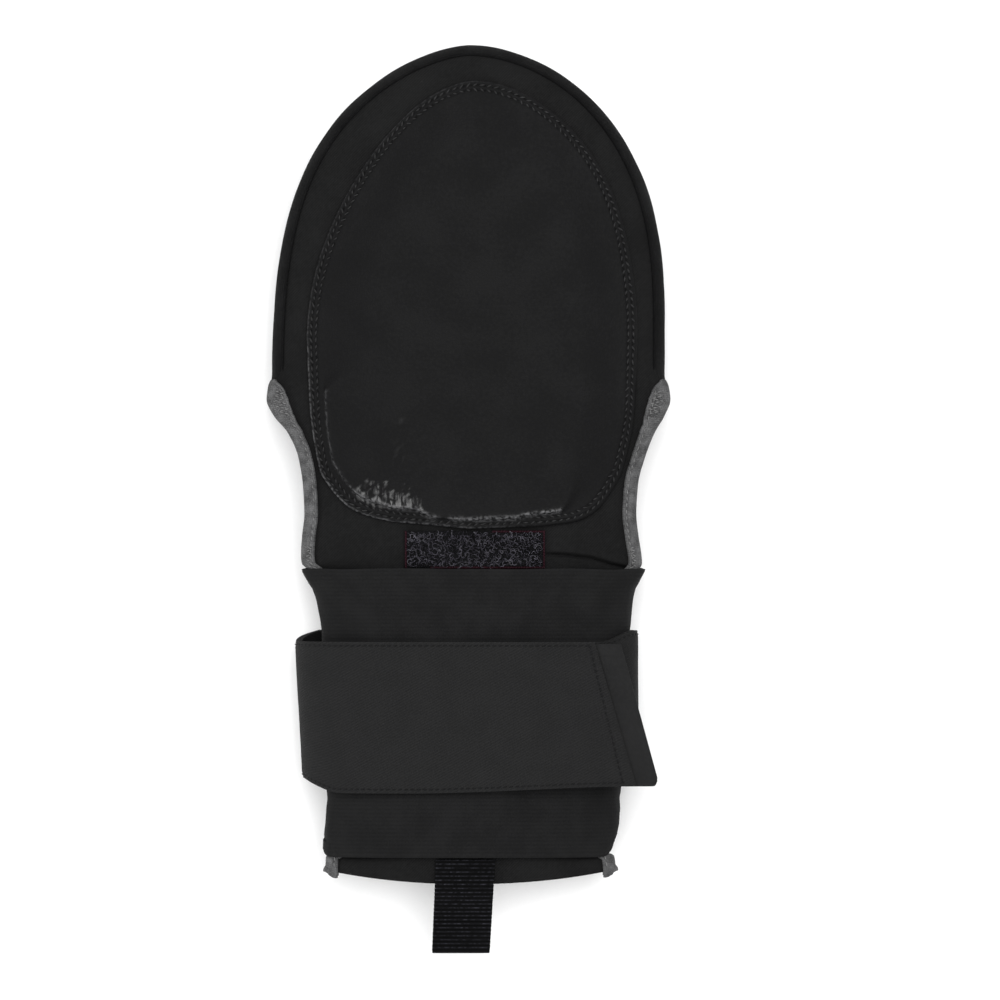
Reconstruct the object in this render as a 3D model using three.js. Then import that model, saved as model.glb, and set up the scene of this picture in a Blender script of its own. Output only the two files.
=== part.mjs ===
// Sliding mitt: a padded hand pocket worn over the hand when sliding into a base.
// It lies on its back, with the front up along +Z, the fingertips towards +Y and the cuff towards -Y.
// All lengths are millimetres, and Z = 0 is the surface that it lies on.
import * as THREE from 'three';
import { ParametricGeometry } from 'three/addons/geometries/ParametricGeometry.js';
import { mergeVertices } from 'three/addons/utils/BufferGeometryUtils.js';

// Overall outline of the pocket
const TIP_Y = 154.7;
const LIP_Y = -131.2;
const LIP_RISE = 3.6;
const LIP_HALF_WIDTH = 44;
const LIP_FADE_Y = -112;
const HEAD_START_Y = 42;
const HEAD = {
  left: { sign: -1, halfWidth: 67.2, springY: 18.5, rise: 3.7, round: 1.57 },
  right: { sign: 1, halfWidth: 67.0, springY: 59.5, rise: 2.5, round: 1.88 },
};

// Rolled rim round the head, and where the panels' inset changes from the tape's to the rim's
const RIM_INSET = 3.6;
const RIM_OVERLAP = 0.6;
const RIM_START_Y = 40.4;
const INSET_BLEND_LOW_Y = 38;
const INSET_BLEND_HIGH_Y = 45;

// Clearance between neighbouring pieces, and the distance under which points are one
const GAP = 0.3;
const SEAT = 0.4;
const WELD = 1e-3;

// Wall and tape thicknesses
const PAD = 8;
const PAD_EDGE = 2.5;
const TONGUE = 3.5;
const GUSSET_WALL = 2.4;
const TAPE = 1.0;
const TAPE_REACH = 4.2;
const TAPE_SLACK = 0.35;
const PATCH_MARGIN = 1.5;
const PATCH_FIELD = 3.0;
const PATCH_MARGIN_WIDTH = 5.4;
const LOOP_PILE = 1.6;
const BAND_WALL = 1.6;
const STRAP_WALL = 2.2;
const RIBBON = 1.2;
const WEBBING = 1.3;

// Width of the pocket from the notch down to the cuff lip, binding tape included
const SIDE_ROWS = [
  { y: 42, left: 67.2, right: 67.0 },
  { y: 33.5, left: 68.4, right: 68.4 },
  { y: 28, left: 66.0, right: 66.4 },
  { y: 22.5, left: 61.4, right: 63.2 },
  { y: 14.5, left: 57.8, right: 60.0 },
  { y: 4.5, left: 56.1, right: 57.4 },
  { y: -5.5, left: 55.6, right: 56.8 },
  { y: -13, left: 56.4, right: 57.6 },
  { y: -19.5, left: 56.8, right: 58.4 },
  { y: -25, left: 50.7, right: 54.2 },
  { y: -33, left: 46.4, right: 50.4 },
  { y: -45, left: 44.4, right: 48.8 },
  { y: -100, left: 42.8, right: 45.8 },
  { y: -117, left: 42.2, right: 42.8 },
  { y: -122, left: 43.2, right: 43.4 },
  { y: -127, left: 47.2, right: 48.0 },
  { y: -131.2, left: 48.4, right: 49.8 },
];

// Heights of the two panels' outer faces, at the middle line and at the edges
const HEIGHT_ROWS = [
  { y: 155, crown: 32, frontEdge: 27, backEdge: 4.5, floor: 0, pad: PAD },
  { y: 45, crown: 32, frontEdge: 27, backEdge: 4.5, floor: 0, pad: PAD },
  { y: 10, crown: 31.6, frontEdge: 26, backEdge: 6, floor: 0, pad: 7 },
  { y: -6, crown: 31.2, frontEdge: 25.6, backEdge: 6.6, floor: 0.2, pad: 6 },
  { y: -25, crown: 30.6, frontEdge: 23.8, backEdge: 11.6, floor: 4.1, pad: TONGUE },
  { y: -45, crown: 30.9, frontEdge: 23.9, backEdge: 12.1, floor: 5.3, pad: TONGUE },
  { y: -131.2, crown: 30.9, frontEdge: 23.9, backEdge: 12.1, floor: 5.3, pad: TONGUE },
];
const BULGE = 2.5;

// Share of the back that is flat where it rests, which fades out towards the wrist
const BACK_FLAT = 0.3;
const FLAT_FADE_LOW_Y = -18;
const FLAT_FADE_HIGH_Y = 8;

// Lines across the panels, from the cuff to the fingertips
const PANEL_LINES = [
  -131.2, -127.6, -125, -122, -117, -100, -70, -45, -35, -28, -25, -22, -19.5, -14, -5.5, 4.5, 14.5, 20, 25, 30,
  34, 40, 45, 56, 68, 84, 100, 115, 127, 136.5, 143.5, 147.8, 150.2, 151.1,
];
const PANEL_COLUMNS = 12;
const RIM_COLUMNS = 44;

// Binding tape: lines from the cuff lip to the top of the notch
const BINDING_LINES = [
  -127.6, -125, -122, -117, -100, -70, -45, -35, -28, -25, -22, -19.5, -14, -5.5, 4.5, 14.5, 20, 25, 30, 34, 39.4,
];

// Stations across the tape: how far inside the panel's edge, and clear of its outer or inner face
const TAPE_CLEAR = SEAT + TAPE / 2;
const TAPE_TURN = 0.2;
const TAPE_STATIONS = [
  { inside: TAPE_REACH, face: 'outer', clear: TAPE_CLEAR },
  { inside: -TAPE_TURN, face: 'outer', clear: TAPE_CLEAR },
  { inside: -TAPE_CLEAR, face: 'outer', clear: -TAPE_TURN },
  { inside: -TAPE_CLEAR, face: 'inner', clear: -TAPE_TURN },
  { inside: -TAPE_TURN, face: 'inner', clear: TAPE_CLEAR + TAPE_SLACK },
  { inside: TAPE_REACH, face: 'inner', clear: TAPE_CLEAR + TAPE_SLACK },
];

// Oval patch: its centre, its own head curves and the rows below them
const PATCH_CENTRE_X = 1;
const PATCH_CENTRE_Y = 54;
const PATCH_TIP_Y = 141.8;
const PATCH_HEAD = {
  left: { sign: -1, halfWidth: 55, springY: 54, rise: 1.8, round: 1.75 },
  right: { sign: 1, halfWidth: 57.5, springY: 54, rise: 1.95, round: 1.8 },
};
const PATCH_ROWS = [
  { y: 54, left: 55, right: 57.5 },
  { y: 30, left: 53.9, right: 56.6 },
  { y: 9, left: 50.5, right: 52.2 },
  { y: 3.5, left: 47.1, right: 49.4 },
  { y: -0.7, left: 43.6, right: 46.6 },
  { y: -4.4, left: 38.6, right: 43.4 },
  { y: -7.8, left: 27.4, right: 37.2 },
  { y: -9.5, left: 9.7, right: 26 },
  { y: -10.5, left: 0, right: 0 },
];

// Rings of the patch from its edge inwards: depth inside the edge and height above the panel
const PATCH_RINGS = [
  { depth: 0, height: PATCH_MARGIN },
  { depth: PATCH_MARGIN_WIDTH, height: PATCH_MARGIN },
  { depth: PATCH_MARGIN_WIDTH + 1.2, height: PATCH_FIELD },
  { depth: 13, height: PATCH_FIELD },
  { depth: 26, height: PATCH_FIELD },
];
const PATCH_SPOKES = 40;

// Wrist band: outline rows from its flared top edge to its bottom edge
const BAND_ROWS = [
  { y: -24.6, left: 56.6, right: 60, top: 33.5, bottom: 1.3 },
  { y: -30, left: 53.8, right: 57.4, top: 33.4, bottom: 1.9 },
  { y: -36, left: 51.8, right: 56.0, top: 33.4, bottom: 2.5 },
  { y: -43.5, left: 50.5, right: 55.3, top: 33.4, bottom: 2.8 },
  { y: -60, left: 49.9, right: 54.4, top: 33.4, bottom: 2.8 },
  { y: -100, left: 48.5, right: 52.0, top: 33.4, bottom: 2.8 },
  { y: -116, left: 49.2, right: 50.9, top: 33.4, bottom: 2.8 },
  { y: -122, left: 49.5, right: 49.4, top: 33.4, bottom: 2.8 },
];
const BAND_LINES = [-122, -116, -100, -60, -43.5, -36, -30, -24.6];
const BAND_SPOKES = 32;
const BAND_MID_Z = 18;
const BAND_SQUARENESS = 3;

// Closure strap: its route round the wrist, looking from the fingertips, from under its own end
const STRAP_ROUTE = [
  { x: 18, z: 34.8 },
  { x: 33, z: 33.9 },
  { x: 47.3, z: 31.2 },
  { x: 55.1, z: 26 },
  { x: 56.8, z: 18 },
  { x: 54.8, z: 9.8 },
  { x: 46, z: 3.2 },
  { x: 30, z: 1.4 },
  { x: 0, z: 1.3 },
  { x: -30, z: 1.4 },
  { x: -46, z: 2.8 },
  { x: -54.6, z: 8 },
  { x: -57.2, z: 15.5 },
  { x: -54.8, z: 23.5 },
  { x: -47, z: 30 },
  { x: -34, z: 33.9 },
  { x: -16, z: 35.1 },
  { x: 1, z: 35.5 },
  { x: 14, z: 37.3 },
  { x: 28, z: 37.8 },
  { x: 44, z: 37.4 },
  { x: 62, z: 36.2 },
];
const STRAP_TOP_Y = -48.8;
const STRAP_BOTTOM_Y = -100.2;
const STRAP_END_TOP_X = 42.7;
const STRAP_END_BOTTOM_X = 57;
const STRAP_STEPS = 46;

// Grip tab under the slanted end: how far it is tucked in, its outer edge, its hems and its downward slope
const TAB_TUCK = 5;
const TAB_TOP_X = 51.6;
const TAB_BOTTOM_X = 64;
const TAB_DROP = 3.2;
const TAB_HEM = 0.6;
const TAB_SLOPE = 0.08;

// Pull tab at the cuff lip: its two legs stand clear of the lip, then close to one doubled tape
const PULL_WIDTH = 20;
const PULL_TOP_Y = -122.9;
const PULL_END_Y = -154.7;
const PULL_MID_X = -1;
const PULL_CLEAR = GAP + 0.15;
const PULL_CLOSE = 8;
const PULL_HALF_FOLD = 1.15;

// Loop patch below the oval patch
const LOOP_LEFT_X = -21.6;
const LOOP_RIGHT_X = 26;
const LOOP_TOP_Y = -11.2;
const LOOP_BOTTOM_Y = -24;

const FINISHES = {
  padding: { color: 0x232323, roughness: 0.9, metalness: 0 },
  rim: { color: 0x202020, roughness: 0.85, metalness: 0 },
  patch: { color: 0x222222, roughness: 0.6, metalness: 0 },
  pile: { color: 0x201f23, roughness: 1, metalness: 0 },
  tape: { color: 0x5c5c5c, roughness: 0.8, metalness: 0 },
  elastic: { color: 0x242424, roughness: 0.9, metalness: 0 },
  strap: { color: 0x2b2b2b, roughness: 0.8, metalness: 0 },
  ribbon: { color: 0x1c1c1e, roughness: 0.75, metalness: 0 },
  webbing: { color: 0x141418, roughness: 0.7, metalness: 0 },
};

// Smooth reading of one column of a table whose rows run in falling y, without overshoot
function column(rows, y, name) {
  const last = rows.length - 1;
  if (y >= rows[0].y) return rows[0][name];
  if (y <= rows[last].y) return rows[last][name];
  const i = rows.findIndex((row) => row.y < y) - 1;
  const slope = (k) => (rows[k + 1][name] - rows[k][name]) / (rows[k + 1].y - rows[k].y);
  const tangent = (k) => {
    if (k === 0 || k === last) return slope(Math.min(k, last - 1));
    const product = slope(k - 1) * slope(k);
    return product <= 0 ? 0 : (2 * product) / (slope(k - 1) + slope(k));
  };
  const step = rows[i + 1].y - rows[i].y;
  const t = (y - rows[i].y) / step;
  const rise = t * t * (3 - 2 * t);
  return rows[i][name] * (1 - rise) + rows[i + 1][name] * rise
    + step * (tangent(i) * t * (1 - t) ** 2 - tangent(i + 1) * t * t * (1 - t));
}

// How far a head curve has risen from its spring line to the tip, from 0 to 1
function headRise(head, y, tipY) {
  return THREE.MathUtils.clamp((y - head.springY) / (tipY - head.springY), 0, 1) ** head.rise;
}

// Half-width of the pocket at height y on one side, drawn in by an inset
function halfWidth(side, y, inset) {
  if (y < HEAD_START_Y) return column(SIDE_ROWS, y, side) - inset;
  const head = HEAD[side];
  return (head.halfWidth - inset) * (1 - headRise(head, y, TIP_Y - inset)) ** (1 / head.round);
}

// The panels stop short of the outline: by the rolled rim in the head, by the tape below it
function panelInset(y) {
  const blend = THREE.MathUtils.smoothstep(y, INSET_BLEND_LOW_Y, INSET_BLEND_HIGH_Y);
  return THREE.MathUtils.lerp(TAPE + SEAT, RIM_INSET, blend);
}

const sideOf = (x) => (x < 0 ? 'left' : 'right');

// 0 at the middle of a panel and 1 at its edge
function panelReach(x, y) {
  const side = sideOf(x);
  const inset = panelInset(y);
  const head = HEAD[side];
  if (y < HEAD_START_Y) return (Math.abs(x) / halfWidth(side, y, inset)) ** head.round;
  return (Math.abs(x) / (head.halfWidth - inset)) ** head.round + headRise(head, y, TIP_Y - inset);
}

function panelHeight(x, y, middle, edge, flat) {
  const reach = THREE.MathUtils.clamp((panelReach(x, y) - flat) / (1 - flat), 0, 1.2);
  const atEdge = column(HEIGHT_ROWS, y, edge);
  return atEdge + (column(HEIGHT_ROWS, y, middle) - atEdge) * (1 - reach ** BULGE);
}

const frontHeight = (x, y) => panelHeight(x, y, 'crown', 'frontEdge', 0);
const backFlat = (y) => BACK_FLAT * THREE.MathUtils.smoothstep(y, FLAT_FADE_LOW_Y, FLAT_FADE_HIGH_Y);
const backHeight = (x, y) => panelHeight(x, y, 'floor', 'backEdge', backFlat(y));

function panelThickness(point) {
  const reach = THREE.MathUtils.clamp(panelReach(point.x, point.y), 0, 1);
  return PAD_EDGE + (column(HEIGHT_ROWS, point.y, 'pad') - PAD_EDGE) * (1 - reach ** BULGE);
}

// The cuff lip runs higher at its sides than at its middle
function lipLift(x, y) {
  const nearLip = 1 - THREE.MathUtils.smoothstep(y, LIP_Y, LIP_FADE_Y);
  return LIP_RISE * (x / LIP_HALF_WIDTH) ** 2 * nearLip;
}

// An open sheet of one surface, as merged points
function sheet(surface, across, along) {
  const geometry = new ParametricGeometry(surface, across, along);
  geometry.deleteAttribute('normal');
  geometry.deleteAttribute('uv');
  return mergeVertices(geometry, WELD);
}

// A closed wall between two offsets of a sheet, measured along its normals
function wall(open, innerOffset, outerOffset) {
  open.computeVertexNormals();
  const place = open.getAttribute('position');
  const normals = open.getAttribute('normal');
  const count = place.count;
  const points = [];
  for (const offset of [outerOffset, innerOffset]) {
    for (let i = 0; i < count; i += 1) {
      const point = new THREE.Vector3().fromBufferAttribute(place, i);
      const normal = new THREE.Vector3().fromBufferAttribute(normals, i);
      points.push(...point.clone().addScaledVector(normal, offset(point)).toArray());
    }
  }
  const faces = [];
  const edges = new Map();
  const index = open.getIndex().array;
  for (let i = 0; i < index.length; i += 3) {
    const [a, b, c] = index.slice(i, i + 3);
    if (a === b || b === c || c === a) continue;
    faces.push(a, b, c, c + count, b + count, a + count);
    for (const [from, to] of [[a, b], [b, c], [c, a]]) edges.set(`${from},${to}`, [from, to]);
  }
  for (const [from, to] of edges.values()) {
    if (edges.has(`${to},${from}`)) continue;
    faces.push(to, from, from + count, to, from + count, to + count);
  }
  const geometry = new THREE.BufferGeometry();
  geometry.setAttribute('position', new THREE.Float32BufferAttribute(points, 3));
  geometry.setIndex(volume(points, faces) < 0 ? faces.reverse() : faces);
  geometry.computeVertexNormals();
  return geometry;
}

function volume(points, faces) {
  const corner = (i) => new THREE.Vector3().fromArray(points, 3 * i);
  let total = 0;
  for (let i = 0; i < faces.length; i += 3) {
    total += corner(faces[i]).dot(corner(faces[i + 1]).cross(corner(faces[i + 2]))) / 6;
  }
  return total;
}

function mesh(name, geometry, finish) {
  const piece = new THREE.Mesh(geometry, new THREE.MeshStandardMaterial(FINISHES[finish]));
  piece.name = name;
  return piece;
}

// A panel's outer face: columns crowd towards the edges, and the last line is the tip point
function panel(name, height, facing) {
  const lines = PANEL_LINES.length - 1;
  const surface = (u, v, target) => {
    const y = PANEL_LINES[Math.round(v * lines)];
    const share = facing * Math.sin((u - 0.5) * Math.PI);
    const x = y === PANEL_LINES[lines] ? 0 : share * halfWidth(sideOf(share), y, panelInset(y));
    target.set(x, y + lipLift(x, y), height(x, y));
  };
  const geometry = wall(sheet(surface, PANEL_COLUMNS, lines), (point) => -panelThickness(point), () => 0);
  return mesh(name, geometry, 'padding');
}

// Point of the outline at a run from 0 at the left notch, over the tip, to 1 at the right notch
function outlinePoint(run) {
  const side = run < 0.5 ? 'left' : 'right';
  const climb = 1 - Math.abs(2 * run - 1);
  const y = RIM_START_Y + (TIP_Y - RIM_START_Y) * Math.sin((climb * Math.PI) / 2);
  return new THREE.Vector2(HEAD[side].sign * halfWidth(side, y, 0), y);
}

// The rim's side wall: bulged outwards at its middle, and tucked in over the panels' edges
function rimGusset() {
  const bottomZ = column(HEIGHT_ROWS, RIM_START_Y, 'backEdge') + PAD_EDGE + 2 * GAP;
  const topZ = column(HEIGHT_ROWS, RIM_START_Y, 'frontEdge') - PAD_EDGE - 2 * GAP;
  const tuck = RIM_INSET + RIM_OVERLAP;
  const surface = (u, v, target) => {
    const here = outlinePoint(u);
    const ahead = outlinePoint(Math.min(u + 1e-3, 1));
    const behind = outlinePoint(Math.max(u - 1e-3, 0));
    const along = ahead.sub(behind).normalize();
    const inward = tuck * (2 * v - 1) ** 2;
    target.set(
      here.x + along.y * inward,
      here.y - along.x * inward,
      THREE.MathUtils.lerp(topZ, bottomZ, v),
    );
  };
  return mesh('rim_gusset', wall(sheet(surface, RIM_COLUMNS, 4), () => -GUSSET_WALL, () => 0), 'rim');
}

// Half-width of the patch at height y on one side, drawn in by an inset
function patchHalfWidth(side, y, inset) {
  if (y < PATCH_HEAD.left.springY) return column(PATCH_ROWS, y, side) - inset;
  const head = PATCH_HEAD[side];
  return (head.halfWidth - inset) * (1 - headRise(head, y, PATCH_TIP_Y - inset)) ** (1 / head.round);
}

// The oval's edge, as a closed ring about its centre, found by walking out along each ray
function patchEdge(angle) {
  let near = 0;
  let far = 160;
  for (let i = 0; i < 40; i += 1) {
    const middle = (near + far) / 2;
    const x = PATCH_CENTRE_X + middle * Math.sin(angle);
    const y = PATCH_CENTRE_Y + middle * Math.cos(angle);
    const inside = y < PATCH_TIP_Y && y > PATCH_ROWS[PATCH_ROWS.length - 1].y
      && Math.abs(x) < patchHalfWidth(sideOf(x), y, 0);
    if (inside) near = middle;
    else far = middle;
  }
  return near;
}

function impactPatch() {
  const last = PATCH_RINGS.length;
  const heightAt = new Map();
  const surface = (u, v, target) => {
    const ring = Math.round(v * last);
    const angle = -2 * Math.PI * (Math.round(u * PATCH_SPOKES) % PATCH_SPOKES) / PATCH_SPOKES;
    const reach = ring === last ? 0 : patchEdge(angle) - PATCH_RINGS[ring].depth;
    const x = PATCH_CENTRE_X + reach * Math.sin(angle);
    const y = PATCH_CENTRE_Y + reach * Math.cos(angle);
    target.set(x, y, frontHeight(x, y));
    const height = ring === last ? PATCH_FIELD : PATCH_RINGS[ring].height;
    heightAt.set(`${x.toFixed(2)},${y.toFixed(2)}`, height);
  };
  const open = sheet(surface, PATCH_SPOKES, last);
  const height = (point) => heightAt.get(`${point.x.toFixed(2)},${point.y.toFixed(2)}`);
  const geometry = wall(open, () => SEAT, (point) => SEAT + height(point));
  return mesh('impact_patch', geometry, 'patch');
}

function loopPatch() {
  const surface = (u, v, target) => {
    const x = THREE.MathUtils.lerp(LOOP_LEFT_X, LOOP_RIGHT_X, u);
    const y = THREE.MathUtils.lerp(LOOP_BOTTOM_Y, LOOP_TOP_Y, v);
    target.set(x, y, frontHeight(x, y));
  };
  return mesh('loop_patch', wall(sheet(surface, 6, 2), () => SEAT, () => SEAT + LOOP_PILE), 'pile');
}

// Tape folded over a panel's edge down one side
function edgeBinding(name, side, height, facing) {
  const lines = BINDING_LINES.length - 1;
  const stations = TAPE_STATIONS.length - 1;
  const surface = (u, v, target) => {
    const y = BINDING_LINES[Math.round(v * lines)];
    const station = TAPE_STATIONS[Math.round(u * stations)];
    const x = HEAD[side].sign * (halfWidth(side, y, panelInset(y) - TAPE_SLACK) - station.inside);
    const slope = (height(x + 0.1, y) - height(x - 0.1, y)) / 0.2;
    const steep = Math.hypot(1, slope);
    const depth = panelThickness(new THREE.Vector3(x, y, 0));
    const lift = station.face === 'outer' ? station.clear : -depth - station.clear;
    target.set(x, y + lipLift(x, y), height(x, y) + facing * lift * steep);
  };
  const half = () => TAPE / 2;
  return mesh(name, wall(sheet(surface, stations, lines), () => -TAPE / 2, half), 'tape');
}

// A squared ring of the wrist band's section
function bandPoint(angle, y) {
  const left = column(BAND_ROWS, y, 'left');
  const right = column(BAND_ROWS, y, 'right');
  const power = 2 / BAND_SQUARENESS;
  const sine = Math.sin(angle);
  const cosine = Math.cos(angle);
  const x = (right - left) / 2 + ((right + left) / 2) * Math.sign(sine) * Math.abs(sine) ** power;
  const limit = column(BAND_ROWS, y, cosine > 0 ? 'top' : 'bottom');
  return new THREE.Vector3(x, y, BAND_MID_Z + (limit - BAND_MID_Z) * Math.abs(cosine) ** power);
}

function wristBand() {
  const lines = BAND_LINES.length - 1;
  const surface = (u, v, target) => {
    const angle = 2 * Math.PI * (Math.round(u * BAND_SPOKES) % BAND_SPOKES) / BAND_SPOKES;
    target.copy(bandPoint(angle, BAND_LINES[Math.round(v * lines)]));
  };
  return mesh('wrist_band', wall(sheet(surface, BAND_SPOKES, lines), () => -BAND_WALL, () => 0), 'elastic');
}

const strapCurve = new THREE.CatmullRomCurve3(
  STRAP_ROUTE.map((row) => new THREE.Vector3(row.x, 0, row.z)),
  false,
  'centripetal',
);
strapCurve.arcLengthDivisions = 800;

// Share of the strap's route, past its last quarter, at which it reaches x
function strapShareAt(x) {
  let near = 0.75;
  let far = 1;
  for (let i = 0; i < 40; i += 1) {
    const middle = (near + far) / 2;
    if (strapCurve.getPointAt(middle).x < x) near = middle;
    else far = middle;
  }
  return near;
}

const strapEndTop = strapShareAt(STRAP_END_TOP_X);
const strapEndBottom = strapShareAt(STRAP_END_BOTTOM_X);

function closureStrap() {
  const surface = (u, v, target) => {
    const end = THREE.MathUtils.lerp(strapEndBottom, strapEndTop, v);
    const point = strapCurve.getPointAt(u * end);
    target.set(point.x, THREE.MathUtils.lerp(STRAP_BOTTOM_Y, STRAP_TOP_Y, v), point.z);
  };
  const half = STRAP_WALL / 2;
  return mesh('closure_strap', wall(sheet(surface, STRAP_STEPS, 3), () => -half, () => half), 'strap');
}

// Ribbon tucked under the slanted end, and standing out past it
function gripTab() {
  const below = STRAP_WALL / 2 + GAP + RIBBON / 2;
  const surface = (u, v, target) => {
    const endX = THREE.MathUtils.lerp(STRAP_END_BOTTOM_X, STRAP_END_TOP_X, v);
    const outerX = THREE.MathUtils.lerp(TAB_BOTTOM_X, TAB_TOP_X, v);
    const x = THREE.MathUtils.lerp(endX - TAB_TUCK, outerX, u);
    const share = strapShareAt(Math.min(x, endX));
    const past = Math.max(0, x - endX);
    const y = THREE.MathUtils.lerp(STRAP_BOTTOM_Y + TAB_DROP, STRAP_TOP_Y - TAB_HEM, v);
    target.set(x, y, strapCurve.getPointAt(share).z - below - past * TAB_SLOPE);
  };
  const half = RIBBON / 2;
  return mesh('grip_tab', wall(sheet(surface, 4, 4), () => -half, () => half), 'ribbon');
}

// Webbing loop whose two legs clasp the cuff lip
function pullTab() {
  const outer = frontHeight(PULL_MID_X, LIP_Y) + PULL_CLEAR + WEBBING / 2;
  const inner = frontHeight(PULL_MID_X, LIP_Y) - TONGUE - PULL_CLEAR - WEBBING / 2;
  const middle = (outer + inner) / 2;
  const fold = PULL_HALF_FOLD;
  const route = new THREE.CatmullRomCurve3([
    new THREE.Vector3(0, PULL_TOP_Y, outer),
    new THREE.Vector3(0, LIP_Y - SEAT, outer),
    new THREE.Vector3(0, LIP_Y - PULL_CLOSE, middle + fold + 0.5),
    new THREE.Vector3(0, PULL_END_Y + 4, middle + fold),
    new THREE.Vector3(0, PULL_END_Y + 1, middle + fold * 0.9),
    new THREE.Vector3(0, PULL_END_Y + WEBBING / 2, middle),
    new THREE.Vector3(0, PULL_END_Y + 1, middle - fold * 0.9),
    new THREE.Vector3(0, PULL_END_Y + 4, middle - fold),
    new THREE.Vector3(0, LIP_Y - PULL_CLOSE, middle - fold - 0.5),
    new THREE.Vector3(0, LIP_Y - SEAT, inner),
    new THREE.Vector3(0, PULL_TOP_Y, inner),
  ], false, 'centripetal');
  const surface = (u, v, target) => {
    const point = route.getPoint(v);
    target.set(PULL_MID_X + (u - 0.5) * PULL_WIDTH, point.y, point.z);
  };
  const half = WEBBING / 2;
  return mesh('pull_tab', wall(sheet(surface, 1, 20), () => -half, () => half), 'webbing');
}

const mitt = new THREE.Group();
mitt.add(panel('front_panel', frontHeight, 1));
mitt.add(panel('back_panel', backHeight, -1));
mitt.add(rimGusset());
mitt.add(impactPatch());
mitt.add(loopPatch());
for (const side of ['left', 'right']) {
  mitt.add(edgeBinding(`binding_front_${side}`, side, frontHeight, 1));
  mitt.add(edgeBinding(`binding_back_${side}`, side, backHeight, -1));
}
mitt.add(wristBand());
mitt.add(closureStrap());
mitt.add(gripTab());
mitt.add(pullTab());

export default mitt;
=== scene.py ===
"""Sliding mitt, dressed: padded hand pocket, stitched patch, grey binding, elastic band and closure strap.

The mitt lies on its back. +Z points out of its front, +Y to the fingertips and -Y to the cuff.
Shapes are worked out in millimetres, and each finished mesh is in metres.
"""

import bisect
import logging
import math
import random
from dataclasses import dataclass, field
from enum import Enum
from typing import Callable, NamedTuple, Sequence

import bmesh
import bpy
from mathutils import Matrix, Vector, noise


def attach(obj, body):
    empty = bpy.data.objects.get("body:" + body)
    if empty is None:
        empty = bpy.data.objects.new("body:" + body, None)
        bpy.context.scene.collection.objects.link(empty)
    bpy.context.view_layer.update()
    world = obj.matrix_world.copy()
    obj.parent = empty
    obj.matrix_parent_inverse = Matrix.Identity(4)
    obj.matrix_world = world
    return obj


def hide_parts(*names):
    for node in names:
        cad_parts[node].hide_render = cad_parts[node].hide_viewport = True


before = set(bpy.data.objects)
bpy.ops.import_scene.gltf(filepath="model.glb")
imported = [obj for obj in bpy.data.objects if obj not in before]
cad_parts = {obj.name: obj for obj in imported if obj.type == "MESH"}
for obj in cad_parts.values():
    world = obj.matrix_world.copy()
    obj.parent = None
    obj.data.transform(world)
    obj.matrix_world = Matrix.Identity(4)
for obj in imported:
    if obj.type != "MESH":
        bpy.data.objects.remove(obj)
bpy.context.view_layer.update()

MM = 0.001
SMALL = 1e-3
CLEARANCE = 0.3
LOG = logging.getLogger("sliding_mitt")
Surface = Callable[[float, float], Vector]


class Side(Enum):
    """The left and right of the mitt, by the sign of X."""

    LEFT = -1
    RIGHT = 1


class Face(Enum):
    """The two panels, by the way that their outer faces look along Z."""

    FRONT = 1
    BACK = -1


class Slot(Enum):
    """The record's material slots."""

    PADDING = "padding"
    RIM = "rim"
    PATCH = "patch"
    PILE = "pile"
    TAPE = "tape"
    ELASTIC = "elastic"
    STRAP = "strap"
    RIBBON = "ribbon"
    WEBBING = "webbing"


class SideRow(NamedTuple):
    """Half-widths left and right of the middle line at height y."""

    y: float
    left: float
    right: float


class HeightRow(NamedTuple):
    """The panels' outer faces at y, at the middle line and at the edges, and how thick the pad is."""

    y: float
    crown: float
    front_edge: float
    back_edge: float
    floor: float
    pad: float


class BandRow(NamedTuple):
    """The wrist band's outline at y: half-widths, and its highest and lowest points."""

    y: float
    left: float
    right: float
    top: float
    bottom: float


class Spot(NamedTuple):
    """A place on the front, seen from above."""

    x: float
    y: float


class RoutePoint(NamedTuple):
    """A point of a route seen from the cuff."""

    x: float
    z: float


@dataclass(frozen=True)
class HeadCurve:
    """One side of an oval's head, a superellipse quarter."""

    half_width: float
    spring_y: float
    rise: float
    round: float


def lerp(low: float, high: float, share: float) -> float:
    """Straight blend from low to high."""
    return low + (high - low) * share


def clamp(value: float, low: float = 0.0, high: float = 1.0) -> float:
    """Value held between low and high."""
    return min(max(value, low), high)


def smoothstep(value: float, low: float, high: float) -> float:
    """0 below low, 1 above high, and a smooth rise between."""
    share = clamp((value - low) / (high - low))
    return share * share * (3 - 2 * share)


def bump(value: float, middle: float, width: float) -> float:
    """A soft bell of height 1 about the middle."""
    return math.exp(-(((value - middle) / width) ** 2))


def column(rows: Sequence[NamedTuple], y: float, name: str) -> float:
    """Reads one column of a table smoothly, without overshoot.

    Args:
        rows: the table, in falling y.
        y: the height that is read.
        name: the column's name.

    Returns:
        The column's value at y.
    """
    last = len(rows) - 1
    if y >= rows[0].y:
        return getattr(rows[0], name)
    if y <= rows[last].y:
        return getattr(rows[last], name)
    i = next(k for k, row in enumerate(rows) if row.y < y) - 1

    def slope(k: int) -> float:
        """Straight slope from row k to the next."""
        return (getattr(rows[k + 1], name) - getattr(rows[k], name)) / (rows[k + 1].y - rows[k].y)

    def tangent(k: int) -> float:
        """Slope of the smooth curve at row k."""
        if k in (0, last):
            return slope(min(k, last - 1))
        product = slope(k - 1) * slope(k)
        return 0.0 if product <= 0 else 2 * product / (slope(k - 1) + slope(k))

    step = rows[i + 1].y - rows[i].y
    t = (y - rows[i].y) / step
    straight = lerp(getattr(rows[i], name), getattr(rows[i + 1], name), t * t * (3 - 2 * t))
    return straight + step * (tangent(i) * t * (1 - t) ** 2 - tangent(i + 1) * t * t * (1 - t))


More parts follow.
